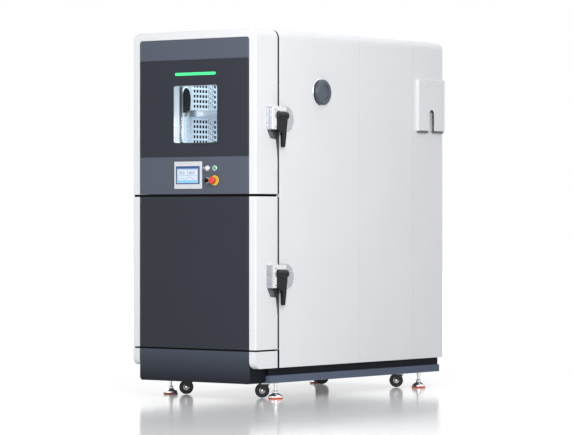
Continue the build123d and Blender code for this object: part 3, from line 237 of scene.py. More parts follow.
def moulded(
    name, colour, roughness=0.4, grain=1500.0, edge=0.0012, coat=0.0, specular=0.5
):
    """Moulded plastic or rubber with a fine grain."""
    material, tree, shader = surface(name, roughness, coat=coat)
    shader.inputs["Specular IOR Level"].default_value = specular
    vector = coordinates(tree)[0]
    tree.links.new(vary(tree, vector, colour, 0.10, 18.0), shader.inputs["Base Color"])
    set_roughness(tree, shader, vector, roughness - 0.06, roughness + 0.08, 40.0)
    set_bump(tree, shader, noise(tree, vector, grain), 0.15, 0.0003, edge)
    return material


def lit(name, colour, strength):
    """A glowing diffuser with slightly uneven light."""
    material, tree, shader = surface(name, 0.3)
    vector = coordinates(tree)[0]
    shade = vary(tree, vector, colour, 0.06, 60.0)
    tree.links.new(shade, shader.inputs["Base Color"])
    tree.links.new(shade, shader.inputs["Emission Color"])
    shader.inputs["Emission Strength"].default_value = strength
    return material


def clear_glass(name):
    """Clear float glass, with a low index so that its two panes stay faint."""
    material, tree, shader = surface(name, 0.02)
    vector = coordinates(tree)[0]
    shader.inputs["Transmission Weight"].default_value = 1.0
    shader.inputs["IOR"].default_value = GLASS_INDEX
    shader.inputs["Base Color"].default_value = (0.97, 0.985, 1.0, 1)
    set_bump(tree, shader, noise(tree, vector, 3.0), 0.01, 0.0002)
    return material


def split_by_height(name, low_colour, high_colour, limit, metallic_above, roughness):
    """Two finishes on one piece, parted at a height."""
    material, tree, shader = surface(name, roughness)
    vector, _, _, height = coordinates(tree)
    above = maths(tree, "GREATER_THAN", height, limit)
    low = vary(tree, vector, low_colour, 0.08, 30.0)
    high = vary(tree, vector, high_colour, 0.05, 30.0)
    metal = maths(tree, "MULTIPLY", above, metallic_above)
    tree.links.new(blend_colours(tree, above, low, high), shader.inputs["Base Color"])
    tree.links.new(metal, shader.inputs["Metallic"])
    set_roughness(tree, shader, vector, roughness - 0.05, roughness + 0.08, 40.0)
    set_bump(tree, shader, noise(tree, vector, 300.0), 0.08, 0.0003, 0.001)
    return material


def sleeve_finish(name, bright, black, lip_depth, seal_depth):
    """The window's sleeve: a black front lip, a bright reveal and a black seal behind it."""
    material, tree, shader = surface(name, 0.35)
    vector, _, depth, _ = coordinates(tree)
    behind_lip = maths(tree, "GREATER_THAN", depth, lip_depth)
    before_seal = maths(tree, "LESS_THAN", depth, seal_depth)
    reveal = maths(tree, "MULTIPLY", behind_lip, before_seal)
    dark_part = vary(tree, vector, black, 0.1, 30.0)
    bright_part = vary(tree, vector, bright, 0.03, 10.0)
    colour = blend_colours(tree, reveal, dark_part, bright_part)
    tree.links.new(colour, shader.inputs["Base Color"])
    set_bump(tree, shader, noise(tree, vector, 500.0), 0.06, 0.0003, 0.001)
    return material


def ringed(name, centre, radius, inside, outside, metallic_outside, metallic_inside, axes):
    """Two finishes on one piece, parted at a distance from a centre, along the axes given."""
    material, tree, shader = surface(name, 0.28)
    vector, x, y, z = coordinates(tree)
    sockets = {"X": x, "Y": y, "Z": z}
    total = None
    for axis, middle in zip(axes, centre):
        offset = maths(tree, "SUBTRACT", sockets[axis], middle)
        square = maths(tree, "MULTIPLY", offset, offset)
        total = square if total is None else maths(tree, "ADD", total, square)
    beyond = maths(tree, "GREATER_THAN", total, radius * radius)
    near = vary(tree, vector, inside, 0.06, 40.0)
    far = vary(tree, vector, outside, 0.06, 40.0)
    tree.links.new(blend_colours(tree, beyond, near, far), shader.inputs["Base Color"])
    span = maths(tree, "MULTIPLY", beyond, metallic_outside - metallic_inside)
    tree.links.new(maths(tree, "ADD", span, metallic_inside), shader.inputs["Metallic"])
    set_bump(tree, shader, noise(tree, vector, 600.0), 0.08, 0.0003, 0.001)
    return material


def room_sheet(name, shade_beyond):
    """Pale satin stainless of the workrooms, with painted shade making it near black and dull in
    the ducts at their sides.
    """
    material, tree, shader = surface(name, 0.4, metallic=0.35)
    vector, x, _, _ = coordinates(tree)
    grain = noise(tree, vector, 1.0, 4.0, (320.0, 2.0, 2.0))
    bright = blend_colours(tree, grain, (0.66, 0.74, 0.80), (0.80, 0.86, 0.90))
    # Painted shade: beyond the duct walls the sheet is near black, without metal or sheen.
    beyond = maths(tree, "GREATER_THAN", maths(tree, "ABSOLUTE", x), shade_beyond)
    colour = blend_colours(tree, beyond, bright, (0.010, 0.014, 0.020))
    tree.links.new(colour, shader.inputs["Base Color"])
    shown = maths(tree, "SUBTRACT", 1.0, beyond)
    metal = maths(tree, "MULTIPLY", shown, 0.35)
    specular = maths(tree, "MULTIPLY", shown, 0.5)
    tree.links.new(metal, shader.inputs["Metallic"])
    tree.links.new(specular, shader.inputs["Specular IOR Level"])
    set_roughness(tree, shader, vector, 0.34, 0.46, 8.0)
    set_bump(tree, shader, grain, 0.05, 0.0002)
    return material


def black_rubber_and_seam_shade():
    """Matt black rubber, also used as painted shade for the strips in the seams and gaps and at the
    pocket's slot.
    """
    material, tree, shader = surface("black_rubber_and_seam_shade", 0.8)
    shader.inputs["Specular IOR Level"].default_value = 0.05
    vector = coordinates(tree)[0]
    black = vary(tree, vector, (0.006, 0.006, 0.007), 0.1, 30.0)
    tree.links.new(black, shader.inputs["Base Color"])
    set_bump(tree, shader, noise(tree, vector, 800.0), 0.1, 0.0003)
    return material


def base_cover_painted_shade():
    """Dark coat of the base cover, with painted shade that darkens it downwards and on its side
    returns, where its sheen is also lowered.
    """
    material, tree, shader = surface("base_cover_painted_shade", 0.36)
    vector, _, depth, height = coordinates(tree)
    low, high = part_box("base_front_cover")
    # Painted shade: near black at the bottom and on the side returns, the coat's lit tone at the
    # top of the front face.
    lower = vary(tree, vector, (0.008, 0.010, 0.017), 0.08, 1.6)
    upper = vary(tree, vector, (0.064, 0.076, 0.104), 0.08, 1.6)
    inputs = {"Value": height, "From Min": low.z, "From Max": high.z}
    rise = add_node(tree, "ShaderNodeMapRange", inputs).outputs[0]
    front_face = maths(tree, "LESS_THAN", depth, low.y + COVER_RETURN)
    colour = blend_colours(tree, maths(tree, "MULTIPLY", rise, front_face), lower, upper)
    tree.links.new(colour, shader.inputs["Base Color"])
    gloss = maths(tree, "ADD", maths(tree, "MULTIPLY", front_face, 0.15), 0.06)
    tree.links.new(gloss, shader.inputs["Specular IOR Level"])
    set_roughness(tree, shader, vector, 0.32, 0.45, 5.0)
    set_bump(tree, shader, noise(tree, vector, 900.0), 0.12, 0.0004, 0.004)
    return material


white = powder_coat("white_powder_coat", WHITE_PAINT)
dark = powder_coat("dark_powder_coat", DARK_PAINT, 0.36, 0.0015, 0.08)
steel_x = brushed("stainless_grain_across", STEEL, "X")
steel_z = brushed("stainless_grain_upright", STEEL, "Z")
chrome = plated("bright_plating")
black_plastic = moulded("black_handle_plastic", BLACK, 0.3, 900.0, 0.0025, specular=0.25)
matt_black = black_rubber_and_seam_shade()
rubber = moulded("black_seal_rubber", (0.012, 0.012, 0.014), 0.55)
machine_grey = powder_coat("machine_grey_paint", (0.30, 0.32, 0.35), 0.4)
machine_black = powder_coat("machine_black_paint", (0.02, 0.02, 0.023), 0.3)
fins = brushed("finned_aluminium", (0.80, 0.81, 0.83), "Z", 0.35)

# Where one piece changes its finish or its painted shade: sizes on the piece, and the places that
# follow

HEADER_BAND = 0.112
CONTROL_BAND = 0.203
LIP_HEIGHT = 0.041
SLEEVE_LIP = 0.004
SLEEVE_SEAL = 0.052
COLLAR_RING = 0.031
# Latch: below this drop from the top the base plate gets painted shadow; the front face this deep
# gets painted shade
LATCH_BODY = 0.131
LATCH_FACE = 0.007
PAD_TOP = 0.0095
HUB_RADIUS = 0.019
FORK_HEAD = 0.0765
# Beyond this distance from the middle the liner gets painted shade in the ducts
DUCT_WALL = 0.302
EVERYWHERE = 9.0
MARGIN = 1.0

panel_low, panel_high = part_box("upper_door_panel")
door_bands = [
    (panel_high.z - HEADER_BAND, panel_high.z + MARGIN),
    (panel_low.z - MARGIN, panel_low.z + CONTROL_BAND),
]
upper_panel_paint = banded_coat("banded_panel_coat", DARK_PAINT, BAND_PAINT, door_bands)
# Painted shade: the plinth's recess is coloured near black as shade under the side panels, and its
# lip is the same coat as lit.
plinth_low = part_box("base_frame")[0].z
plinth_band = [(plinth_low - MARGIN, plinth_low + LIP_HEIGHT)]
plinth_paint = banded_coat("plinth_coat", RECESS_PAINTED_SHADE, LIP_PAINT, plinth_band, 0.08)

FINISHES = {
    "base_frame": plinth_paint,
    "base_front_cover": base_cover_painted_shade(),
    "base_side_trims": white,
    "chamber_cover": white,
    "machine_cover_middle": white,
    "machine_cover_rear": white,
    "rear_panel": white,
    "side_pocket": white,
    "upper_door_frame": white,
    "lower_door_frame": white,
    "upper_door_panel": upper_panel_paint,
    "lower_door_panel": dark,
    "insulation": moulded("mineral_fill", (0.6, 0.56, 0.4), 0.8, 90.0, 0.0),
    "workroom_liners": room_sheet("liner_sheet", DUCT_WALL),
    "duct_plates": room_sheet("duct_sheet", EVERYWHERE),
    "shelf_rails": steel_z,
    "upper_shelf": steel_x,
    "lower_shelf": steel_x,
    "upper_door_liner": steel_z,
    "lower_door_liner": steel_z,
    "port_sleeve": plated("port_flange_steel", STEEL, 0.22),
    "fan_motors": machine_grey,
    "electrics_box": machine_grey,
    "refrigeration_unit": machine_black,
    "air_coils": fins,
    "upper_fan": fins,
    "lower_fan": fins,
    "latch_strikes": plated("strike_plating", (0.56, 0.57, 0.60), 0.2, 0.002),
    "cabinet_hinge_leaves": chrome,
    "upper_hinge_leaves": chrome,
    "lower_hinge_leaves": chrome,
    "upper_latch_lever": black_plastic,
    "lower_latch_lever": black_plastic,
    "upper_door_gasket": rubber,
    "lower_door_gasket": rubber,
    "window_glass": clear_glass("window_float_glass"),
    "status_light": lit("status_light_green", LIGHT_GREEN, 0.85),
    "hmi_housing": moulded("screen_bezel_plastic", (0.72, 0.73, 0.76), 0.3, 900.0, 0.0015, 0.2),
    "start_button": moulded("start_button_green", GREEN, 0.25, 900.0, 0.001, 0.4),
    "emergency_stop": moulded("stop_button_red", RED, 0.28, 900.0, 0.0015, 0.4),
    "key_switch": chrome,
    "selector_knob": black_plastic,
    "port_plug": moulded("port_plug_rubber", (0.085, 0.10, 0.13), 0.42, 500.0, 0.003),
}
window_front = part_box("window_frame")[0].y
FINISHES["window_frame"] = sleeve_finish(
    "window_sleeve",
    (0.60, 0.65, 0.70),
    (0.01, 0.012, 0.015),
    window_front + SLEEVE_LIP,
    window_front + SLEEVE_SEAL,
)
FINISHES["hmi_screen"] = lit("screen_back_light", (0.02, 0.05, 0.12), 0.25)
stop_low, stop_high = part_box("emergency_stop")
stop_centre = ((stop_low.x + stop_high.x) / 2, (stop_low.z + stop_high.z) / 2)
FINISHES["switch_collars"] = ringed(
    "switch_collar_finish", stop_centre, COLLAR_RING, YELLOW, CHROME, 1.0, 0.0, "XZ"
)
for level in LEVELS:
    low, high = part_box(f"{level}_latch_housing")
    FINISHES[f"{level}_latch_housing"] = latch_plating_with_painted_shade(
        f"{level}_latch_plating", high.z - LATCH_BODY, low.y + LATCH_FACE
    )
for corner in CORNERS:
    FINISHES[f"{corner}_foot"] = split_by_height(
        f"{corner}_foot_finish", ORANGE, CHROME, PAD_TOP, 1.0, 0.16
    )
    FINISHES[f"{corner}_castor_fork"] = split_by_height(
        f"{corner}_fork_finish", DARK_ZINC, CHROME, FORK_HEAD, 1.0, 0.3
    )
    low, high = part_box(f"{corner}_castor_wheel")
    hub = (low + high) / 2
    FINISHES[f"{corner}_castor_wheel"] = ringed(
        f"{corner}_wheel_finish", hub, HUB_RADIUS, HUB_GREY, TREAD_BLACK, 0.0, 1.0, "XYZ"
    )

for node_name, material in FINISHES.items():
    for slot in cad_nodes[node_name].material_slots:
        slot.material = material


# Mesh helpers


def mesh_piece(name, build, material, body):
    """A mesh made by a bmesh function, with its material, riding on a body."""
    mesh = bpy.data.meshes.new(name)
    work = bmesh.new()
    build(work)
    bmesh.ops.recalc_face_normals(work, faces=work.faces)
    work.to_mesh(mesh)
    work.free()
    piece = bpy.data.objects.new(name, mesh)
    scene.collection.objects.link(piece)
    mesh.materials.append(material)
    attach(piece, body)


def add_block(work, low, high, bevel=0.0):
    """A block between two corners, with softened edges where a bevel is given."""
    size = Vector(high) - Vector(low)
    middle = (Vector(high) + Vector(low)) / 2
    matrix = Matrix.Translation(middle) @ Matrix.Diagonal((*size, 1))
    made = bmesh.ops.create_cube(work, size=1, matrix=matrix)
    if bevel:
        edges = list({edge for vertex in made["verts"] for edge in vertex.link_edges})
        bmesh.ops.bevel(work, geom=edges, offset=bevel, segments=2, affect="EDGES", profile=0.5)


def add_turned(work, centre, axis, outline, steps=24):
    """A turned form: an outline of (distance along the axis, radius) pairs, spun about the axis."""
    turn = Vector(axis).to_track_quat("Z", "Y").to_matrix().to_4x4()
    matrix = Matrix.Translation(centre) @ turn
    rings = []
    for along, radius in outline:
        ring = []
        for step in range(steps):
            angle = 2 * math.pi * step / steps
            place = matrix @ Vector((radius * math.cos(angle), radius * math.sin(angle), along))
            ring.append(work.verts.new(place))
        rings.append(ring)
    for first, second in zip(rings, rings[1:]):
        for step in range(steps):
            after = (step + 1) % steps
            work.faces.new((first[step], first[after], second[after], second[step]))
    work.faces.new(rings[0][::-1])
    work.faces.new(rings[-1])


def screw_outline(radius):
    """A pan-head screw's outline with a shallow round socket."""
    return [
        (0.0, radius),
        (radius * 0.35, radius * 0.95),
        (radius * 0.55, radius * 0.7),
        (radius * 0.58, radius * 0.42),
        (radius * 0.30, radius * 0.36),
    ]


# Camera and light

AZIMUTH = math.radians(37.56)
CORNER = Vector((0.430, -0.880, 0.0))
CORNER_DISTANCE = 15.94
CORNER_ASIDE = -0.1641
EYE_HEIGHT = 1.0
FOCAL_PIXELS = 2981.0
FRAME_WIDTH = 573.0
SENSOR = 36.0
HORIZON_ABOVE_CENTRE = 2.76

SOFT_WORLD = 0.36
FLOOR_HALF = 30.0

# Name, place, target, size and watts
LAMPS = (
    ("key_right", (4.0, -4.2, 2.9), (0.4, -0.6, 1.2), (2.4, 2.8), 200),
    ("front_fill", (-0.6, -6.0, 2.4), (0, -0.8, 1.0), (3.0, 3.0), 50),
    ("top_soft", (0.5, 0.5, 5.5), (0, 0, 1.0), (4.0, 4.0), 85),
    ("rear_left", (-4.5, 3.0, 2.6), (0, 0.3, 1.0), (3.0, 3.0), 45),
)


def add_camera():
    """The photograph's viewpoint, set out from the cabinet's front right corner."""
    forward = Vector((-math.sin(AZIMUTH), math.cos(AZIMUTH), 0))
    rightward = Vector((math.cos(AZIMUTH), math.sin(AZIMUTH), 0))
    data = bpy.data.cameras.new("camera")
    camera = bpy.data.objects.new("camera", data)
    scene.collection.objects.link(camera)
    scene.camera = camera
    camera.location = CORNER - forward * CORNER_DISTANCE - rightward * CORNER_ASIDE
    camera.location.z = EYE_HEIGHT
    camera.rotation_euler = (math.pi / 2, 0, AZIMUTH)
    data.sensor_width = SENSOR
    data.lens = FOCAL_PIXELS / FRAME_WIDTH * SENSOR
    data.shift_y = -HORIZON_ABOVE_CENTRE / FRAME_WIDTH
    data.clip_end = 100


def area_light(name, place, target, size, power):
    """A soft rectangular lamp that faces a point."""
    data = bpy.data.lights.new(name, "AREA")
    data.shape = "RECTANGLE"
    data.size, data.size_y = size
    data.energy = power
    lamp = bpy.data.objects.new(name, data)
    scene.collection.objects.link(lamp)
    lamp.location = place
    facing = (Vector(target) - Vector(place)).to_track_quat("-Z", "Y")
    lamp.rotation_euler = facing.to_euler()


def studio_world():
    """Soft cool light, with plain white where the camera, gloss and glass look past the object."""
    world = bpy.data.worlds.new("studio")
    scene.world = world
    world.use_nodes = True
    tree = world.node_tree
    tree.nodes.clear()
    path = add_node(tree, "ShaderNodeLightPath").outputs
    seen = maths(tree, "MAXIMUM", path["Is Camera Ray"], path["Is Transmission Ray"])
    seen = maths(tree, "MAXIMUM", seen, path["Is Glossy Ray"])
    cool = {"Color": (0.93, 0.95, 1, 1), "Strength": SOFT_WORLD}
    soft = add_node(tree, "ShaderNodeBackground", cool).outputs[0]
    plain = add_node(tree, "ShaderNodeBackground", {"Color": (1, 1, 1, 1), "Strength": 1.0})
    mix = add_node(tree, "ShaderNodeMixShader", {0: seen, 1: soft, 2: plain.outputs[0]})
    add_node(tree, "ShaderNodeOutputWorld", {0: mix.outputs[0]})


def studio_floor():
    """A pale, faintly glossy floor that shades off to white."""
    mesh = bpy.data.meshes.new("floor")
    work = bmesh.new()
    bmesh.ops.create_grid(work, x_segments=8, y_segments=8, size=FLOOR_HALF)
    work.to_mesh(mesh)
    work.free()
    floor = bpy.data.objects.new("floor", mesh)
    scene.collection.objects.link(floor)
    material, tree, shader = surface("studio_floor", 0.12)
    vector = coordinates(tree)[0]
    pale = vary(tree, vector, (0.80, 0.80, 0.80), 0.01, 0.6)
    tree.links.new(pale, shader.inputs["Base Color"])
    path = add_node(tree, "ShaderNodeLightPath")
    length = add_node(tree, "ShaderNodeVectorMath", {0: vector}, operation="LENGTH")
    away = length.outputs["Value"]
    inputs = {"Value": away, "From Min": 2.5, "From Max": 8.0, "To Min": 0.12, "To Max": 0.40}
    reach = add_node(tree, "ShaderNodeMapRange", inputs).outputs[0]
    lift = maths(tree, "MULTIPLY", path.outputs["Is Camera Ray"], reach)
    glow = add_node(tree, "ShaderNodeEmission", {"Color": (1, 1, 1, 1), "Strength": lift})
    total = add_node(tree, "ShaderNodeAddShader", {0: shader.outputs[0], 1: glow.outputs[0]})
    output = tree.nodes["Material Output"]
    tree.links.new(total.outputs[0], output.inputs["Surface"])
    mesh.materials.append(material)


scene.view_settings.view_transform = "Standard"
add_camera()
for lamp_settings in LAMPS:
    area_light(*lamp_settings)
studio_world()
studio_floor()


# Screen layout: flat tiles just proud of the display

TILE_RISE = 0.0004
TREND_LAYER = 2.4
VALUE_LAYER = 2.6
TREND_POINTS = 15
TREND_HALF_WIDTH = 0.012
VALUE_HEIGHT = 0.24


def on_screen(across, up, layer):
    """The place at two shares of the display, raised by a number of layers."""
    low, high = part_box("hmi_screen")
    x = low.x + across * (high.x - low.x)
    z = low.z + up * (high.z - low.z)
    return (x, low.y - TILE_RISE * layer, z)


def screen_tiles(page, title, keys, field):
    """Page, title bar, fields and keys; the four numbers are shares of the display."""
    tiles = [
        ("screen_page", page, 0, (0.045, 0.06, 0.93, 0.94)),
        ("screen_title_bar", title, 1, (0.045, 0.86, 0.93, 0.94)),
        ("screen_temperature_field", field, 1, (0.10, 0.50, 0.46, 0.78)),
        ("screen_humidity_field", field, 1, (0.52, 0.50, 0.88, 0.78)),
        ("screen_trend_field", field, 1, (0.10, 0.24, 0.88, 0.44)),
    ]
    for index in range(4):
        left = 0.10 + 0.20 * index
        tiles.append((f"screen_key_{index}", keys, 1, (left, 0.09, left + 0.17, 0.19)))
    for name, material, layer, (left, bottom, right, top) in tiles:
        start, end = on_screen(left, bottom, layer + 1), on_screen(right, top, layer)

        def tile(work, start=start, end=end):
            add_block(work, start, end)

        mesh_piece(name, tile, material, "upper_door")


def screen_trend(title):
    """A wavy line across the trend field."""
    points = []
    for i in range(TREND_POINTS):
        points.append((0.12 + 0.05 * i, 0.30 + 0.035 * math.sin(i * 0.9) + 0.004 * i))

    def trend(work):
        for (x0, z0), (x1, z1) in zip(points, points[1:]):
            corners = [
                (x0, z0 - TREND_HALF_WIDTH),
                (x1, z1 - TREND_HALF_WIDTH),
                (x1, z1 + TREND_HALF_WIDTH),
                (x0, z0 + TREND_HALF_WIDTH),
            ]
            work.faces.new([work.verts.new(on_screen(x, z, TREND_LAYER)) for x, z in corners])

    mesh_piece("screen_trend_line", trend, title, "upper_door")


def screen_value(name, text, left, ink):
    """A number in a value field."""
    low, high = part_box("hmi_screen")
    curve = bpy.data.curves.new(name, "FONT")
    curve.body = text
    curve.size = (high.z - low.z) * VALUE_HEIGHT
    curve.extrude = 0.0001
    value = bpy.data.objects.new(name, curve)
    scene.collection.objects.link(value)
    value.location = on_screen(left, 0.56, VALUE_LAYER)
    value.rotation_euler = (math.pi / 2, 0, 0)
    curve.materials.append(ink)
    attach(value, "upper_door")


def screen_layout():
    """A plain control page: title bar, two values, a trend line and a row of keys."""
    page = lit("screen_page", (0.40, 0.50, 0.66), 0.22)
    title = lit("screen_title", (0.02, 0.09, 0.32), 0.4)
    keys = lit("screen_keys", (0.10, 0.42, 0.70), 0.6)
    field = lit("screen_fields", (0.66, 0.72, 0.82), 0.22)
    ink = lit("screen_ink", (0.03, 0.05, 0.12), 0.2)
    screen_tiles(page, title, keys, field)
    screen_trend(title)
    screen_value("screen_temperature_value", "25.0", 0.13, ink)
    screen_value("screen_humidity_value", "60.0", 0.55, ink)


screen_layout()


# Inside of the upper workroom, as seen through the window

SLOT_PITCH = 0.0284
HOOK_ROWS = 22
HOOK_START = 0.30
HOOK_BEHIND = 0.230
HOOK_RADIUS = 0.0075
HOOK_WIRE = 0.0022
PIN_RADIUS = 0.004
SHELF_MARGIN = 0.02
RAIL_TOP_MARGIN = 0.11

GUARD_BEHIND = 0.006
GUARD_DROP = 0.012
GUARD_RISE = 0.128
GUARD_HALF = 0.036
GUARD_SHOULDER = 0.070
GUARD_FOOT = 0.85
GUARD_STEPS = 24
GUARD_DEPTH = 0.011
RIM_WIDTH = 0.007
RIM_DEPTH = 0.008

shelf_low, shelf_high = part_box("upper_shelf")
rail_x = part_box("shelf_rails")[0].x
duct_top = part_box("duct_plates")[1].z


def add_bead(work, place, radius):
    """A small round bead."""
    matrix = Matrix.Translation(place)
    bmesh.ops.create_icosphere(work, subdivisions=1, radius=radius, matrix=matrix)


def shelf_hooks():
    """Curled hooks, each with its pin, down the left upright; none at the shelf or the top."""
    hook_y = shelf_low.y + HOOK_BEHIND

    def hooks(work):
        for row in range(HOOK_ROWS):
            z = shelf_low.z - HOOK_START + row * SLOT_PITCH
            at_shelf = shelf_low.z - SHELF_MARGIN < z < shelf_high.z + SHELF_MARGIN
            if at_shelf or z > duct_top - RAIL_TOP_MARGIN:
                continue
            for degrees in range(-100, 111, 35):
                angle = math.radians(degrees)
                y = hook_y + 0.008 + HOOK_RADIUS * math.cos(angle)
                place = (rail_x + HOOK_RADIUS, y, z + HOOK_RADIUS * math.sin(angle))
                add_bead(work, place, HOOK_WIRE)
            add_bead(work, (rail_x + 0.0062, hook_y - 0.010, z + 0.012), PIN_RADIUS)

    mesh_piece("shelf_hooks", hooks, matt_black, "cabinet")


def guard_outline(grow):
    """The bullet-shaped outline of the sensor guard as (Y, Z) places, grown on all sides."""
    bottom, top = shelf_high.z - GUARD_DROP, shelf_high.z + GUARD_RISE
    shoulder = bottom + GUARD_SHOULDER
    reach = GUARD_HALF + grow
    middle = shelf_low.y + GUARD_BEHIND
    points = [(middle + side * reach * GUARD_FOOT, bottom - grow) for side in (-1, 1)]
    for step in range(GUARD_STEPS + 1):
        angle = math.pi * step / GUARD_STEPS
        rise = (top + grow - shoulder) * math.sin(angle)
        points.append((middle + reach * math.cos(angle), shoulder + rise))
    return points


def add_guard(work, grow, depth):
    """A plate of the guard's outline, standing off the upright's face."""
    outline = guard_outline(grow)
    front = [work.verts.new((rail_x + depth, y, z)) for y, z in outline]
    back = [work.verts.new((rail_x, y, z)) for y, z in outline]
    work.faces.new(front)
    work.faces.new(back[::-1])
    for i in range(len(front)):
        j = (i + 1) % len(front)
        work.faces.new((front[i], front[j], back[j], back[i]))


def sensor_guard():
    """A black guard with a pale rim on the left upright, just over the shelf."""
    rim = moulded("sensor_guard_rim", (0.85, 0.87, 0.9), 0.3)
    for name, grow, depth, material in (
        ("sensor_guard_rim", RIM_WIDTH, RIM_DEPTH, rim),
        ("sensor_guard", 0.0, GUARD_DEPTH, matt_black),
    ):

        def guard(work, grow=grow, depth=depth):
            add_guard(work, grow, depth)

        mesh_piece(name, guard, material, "cabinet")


def room_light(name, place, power):
    """A soft, slightly cool point light inside the workroom."""
    data = bpy.data.lights.new(name, "POINT")
    data.energy = power
    data.shadow_soft_size = 0.08
    data.color = (0.93, 0.97, 1.0)
    lamp = bpy.data.objects.new(name, data)
    scene.collection.objects.link(lamp)
    lamp.location = place


def room_lamp():
    """A small lit lamp under the workroom's ceiling, and the light over and under the shelf."""
    place = Vector((0.10, shelf_low.y + 0.05, duct_top - 0.004))
    outline = [(0.0, 0.045), (0.004, 0.045), (0.016, 0.036), (0.022, 0.02)]
    glow = lit("room_lamp_glass", (1, 1, 0.96), 2.0)

    def lamp(work):
        add_turned(work, place, (0, 0, -1), outline)

    mesh_piece("room_lamp", lamp, glow, "cabinet")
    room_light("room_light", place - Vector((0, 0, 0.08)), 3.6)
    room_light("room_light_low", (place.x, place.y, shelf_low.z - 0.06), 2.2)


shelf_hooks()
sensor_guard()
room_lamp()


# Screws on latches, hinges and strikes, and the castors' axle nuts

LATCH_SCREW_DROPS = (0.024, 0.116)
LATCH_SCREW_INSET = 0.032
LATCH_SCREW_RADIUS = 0.0035
HINGE_LEAF = 0.120
HINGE_SCREW_RISES = (0.02, 0.06, 0.10)
HINGE_SCREW_INSET = 0.016
HINGE_SCREW_RADIUS = 0.005
LEAF_FACE = 0.006
STRIKE_SCREW_DROPS = (0.012, 0.090)
STRIKE_SCREW_INSET = 0.020
STRIKE_SCREW_RADIUS = 0.004
CASTOR_TURN = 127.6
AXLE_NUT_RADIUS = 0.0075
AXLE_NUT_HEIGHT = 0.006
AXLE_NUT_SEAT = 0.021

hinge_leaves = {level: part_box(f"{level}_hinge_leaves") for level in LEVELS}


def add_hinge_screws(work, x, y, leaves):
    """Three screws in the lower and in the upper leaf of a hinge pair."""
    low, high = leaves
    for bottom in (low.z, high.z - HINGE_LEAF):
        for rise in HINGE_SCREW_RISES:
            place = (x, y, bottom + rise)
            add_turned(work, place, (-1, 0, 0), screw_outline(HINGE_SCREW_RADIUS))


def door_screws(level):
    """Screws in a door's latch housing and hinge leaves."""
    low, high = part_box(f"{level}_latch_housing")
    leaf_low, leaf_high = hinge_leaves[level]

    def latch_screws(work):
        for drop in LATCH_SCREW_DROPS:
            place = (high.x, low.y + LATCH_SCREW_INSET, high.z - drop)
            add_turned(work, place, (1, 0, 0), screw_outline(LATCH_SCREW_RADIUS))

    def hinge_screws(work):
        x, y = leaf_high.x - LEAF_FACE, leaf_low.y + HINGE_SCREW_INSET
        add_hinge_screws(work, x, y, hinge_leaves[level])

    mesh_piece(f"{level}_latch_screws", latch_screws, black_plastic, f"{level}_door")
    mesh_piece(f"{level}_door_hinge_screws", hinge_screws, chrome, f"{level}_door")


def cabinet_screws():
    """Screws in the cabinet's hinge leaves and in the latch strikes."""
    leaf_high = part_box("cabinet_hinge_leaves")[1]
    strike_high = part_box("latch_strikes")[1]
    lever_tops = [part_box(f"{level}_latch_lever")[1].z for level in LEVELS]

    def hinge_screws(work):
        x, y = leaf_high.x - LEAF_FACE, leaf_high.y - HINGE_SCREW_INSET
        for leaves in hinge_leaves.values():
            add_hinge_screws(work, x, y, leaves)

    def strike_screws(work):
        for top in lever_tops:
            for drop in STRIKE_SCREW_DROPS:
                place = (strike_high.x, strike_high.y - STRIKE_SCREW_INSET, top - drop)
                add_turned(work, place, (1, 0, 0), screw_outline(STRIKE_SCREW_RADIUS))

    mesh_piece("cabinet_hinge_screws", hinge_screws, chrome, "cabinet")
    mesh_piece("strike_screws", strike_screws, chrome, "cabinet")


def axle_nuts(corner):
    """A plated nut on each end of a castor's axle."""
    low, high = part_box(f"{corner}_castor_wheel")
    centre = (low + high) / 2
    turn = math.radians(CASTOR_TURN)
    axle = Vector((math.cos(turn), math.sin(turn), 0))
    outline = [(0.0, AXLE_NUT_RADIUS), (AXLE_NUT_HEIGHT, AXLE_NUT_RADIUS)]

    def nuts(work):
        for side in (-1, 1):
            add_turned(work, centre + side * AXLE_NUT_SEAT * axle, side * axle, outline, 6)

    mesh_piece(f"{corner}_axle_nuts", nuts, chrome, f"{corner}_castor_fork")


for level in LEVELS:
    door_screws(level)
cabinet_screws()
for corner in CORNERS:
    axle_nuts(corner)


# Black strips in the seams, as painted shade in the gaps

SEAM_INSET = 0.002
SEAM_WIDTH = 0.014
SEAM_GAP = 0.0012
ROOF_CORNER = 0.045
DOOR_CORNER = 0.006
CORNER_STEPS = 8
FILLER_INSET = 0.005
FILLER_SETBACK = 0.003
OVERLAP = 0.0002
BASE_STRIP_RISE = 0.0006
BASE_STRIP_TOP = 0.006

cabinet_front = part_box("chamber_cover")[0].y


def add_bar(work, rows):
    """A bar through four rows of places: its long sides and its two ends."""
    made = [[work.verts.new(place) for place in row] for row in rows]
    for first, second in zip(made, made[1:] + made[:1]):
        for i in range(len(first) - 1):
            work.faces.new((first[i], first[i + 1], second[i + 1], second[i]))
    for end in (0, -1):
        work.faces.new([row[end] for row in made])


def add_band(work, outline, front, back, width):
    """A band between two Y places that follows an (X, Z) outline, inside it."""
    points = [Vector((x, 0, z)) for x, z in outline]
    inner = []
    for i, point in enumerate(points):
        before, after = points[max(i - 1, 0)], points[min(i + 1, len(points) - 1)]
        along = (after - before).normalized()
        inner.append(point + Vector((along.z, 0, -along.x)) * width)
    sides = ((points, front), (points, back), (inner, back), (inner, front))
    add_bar(work, [[(point.x, y, point.z) for point in row] for row, y in sides])


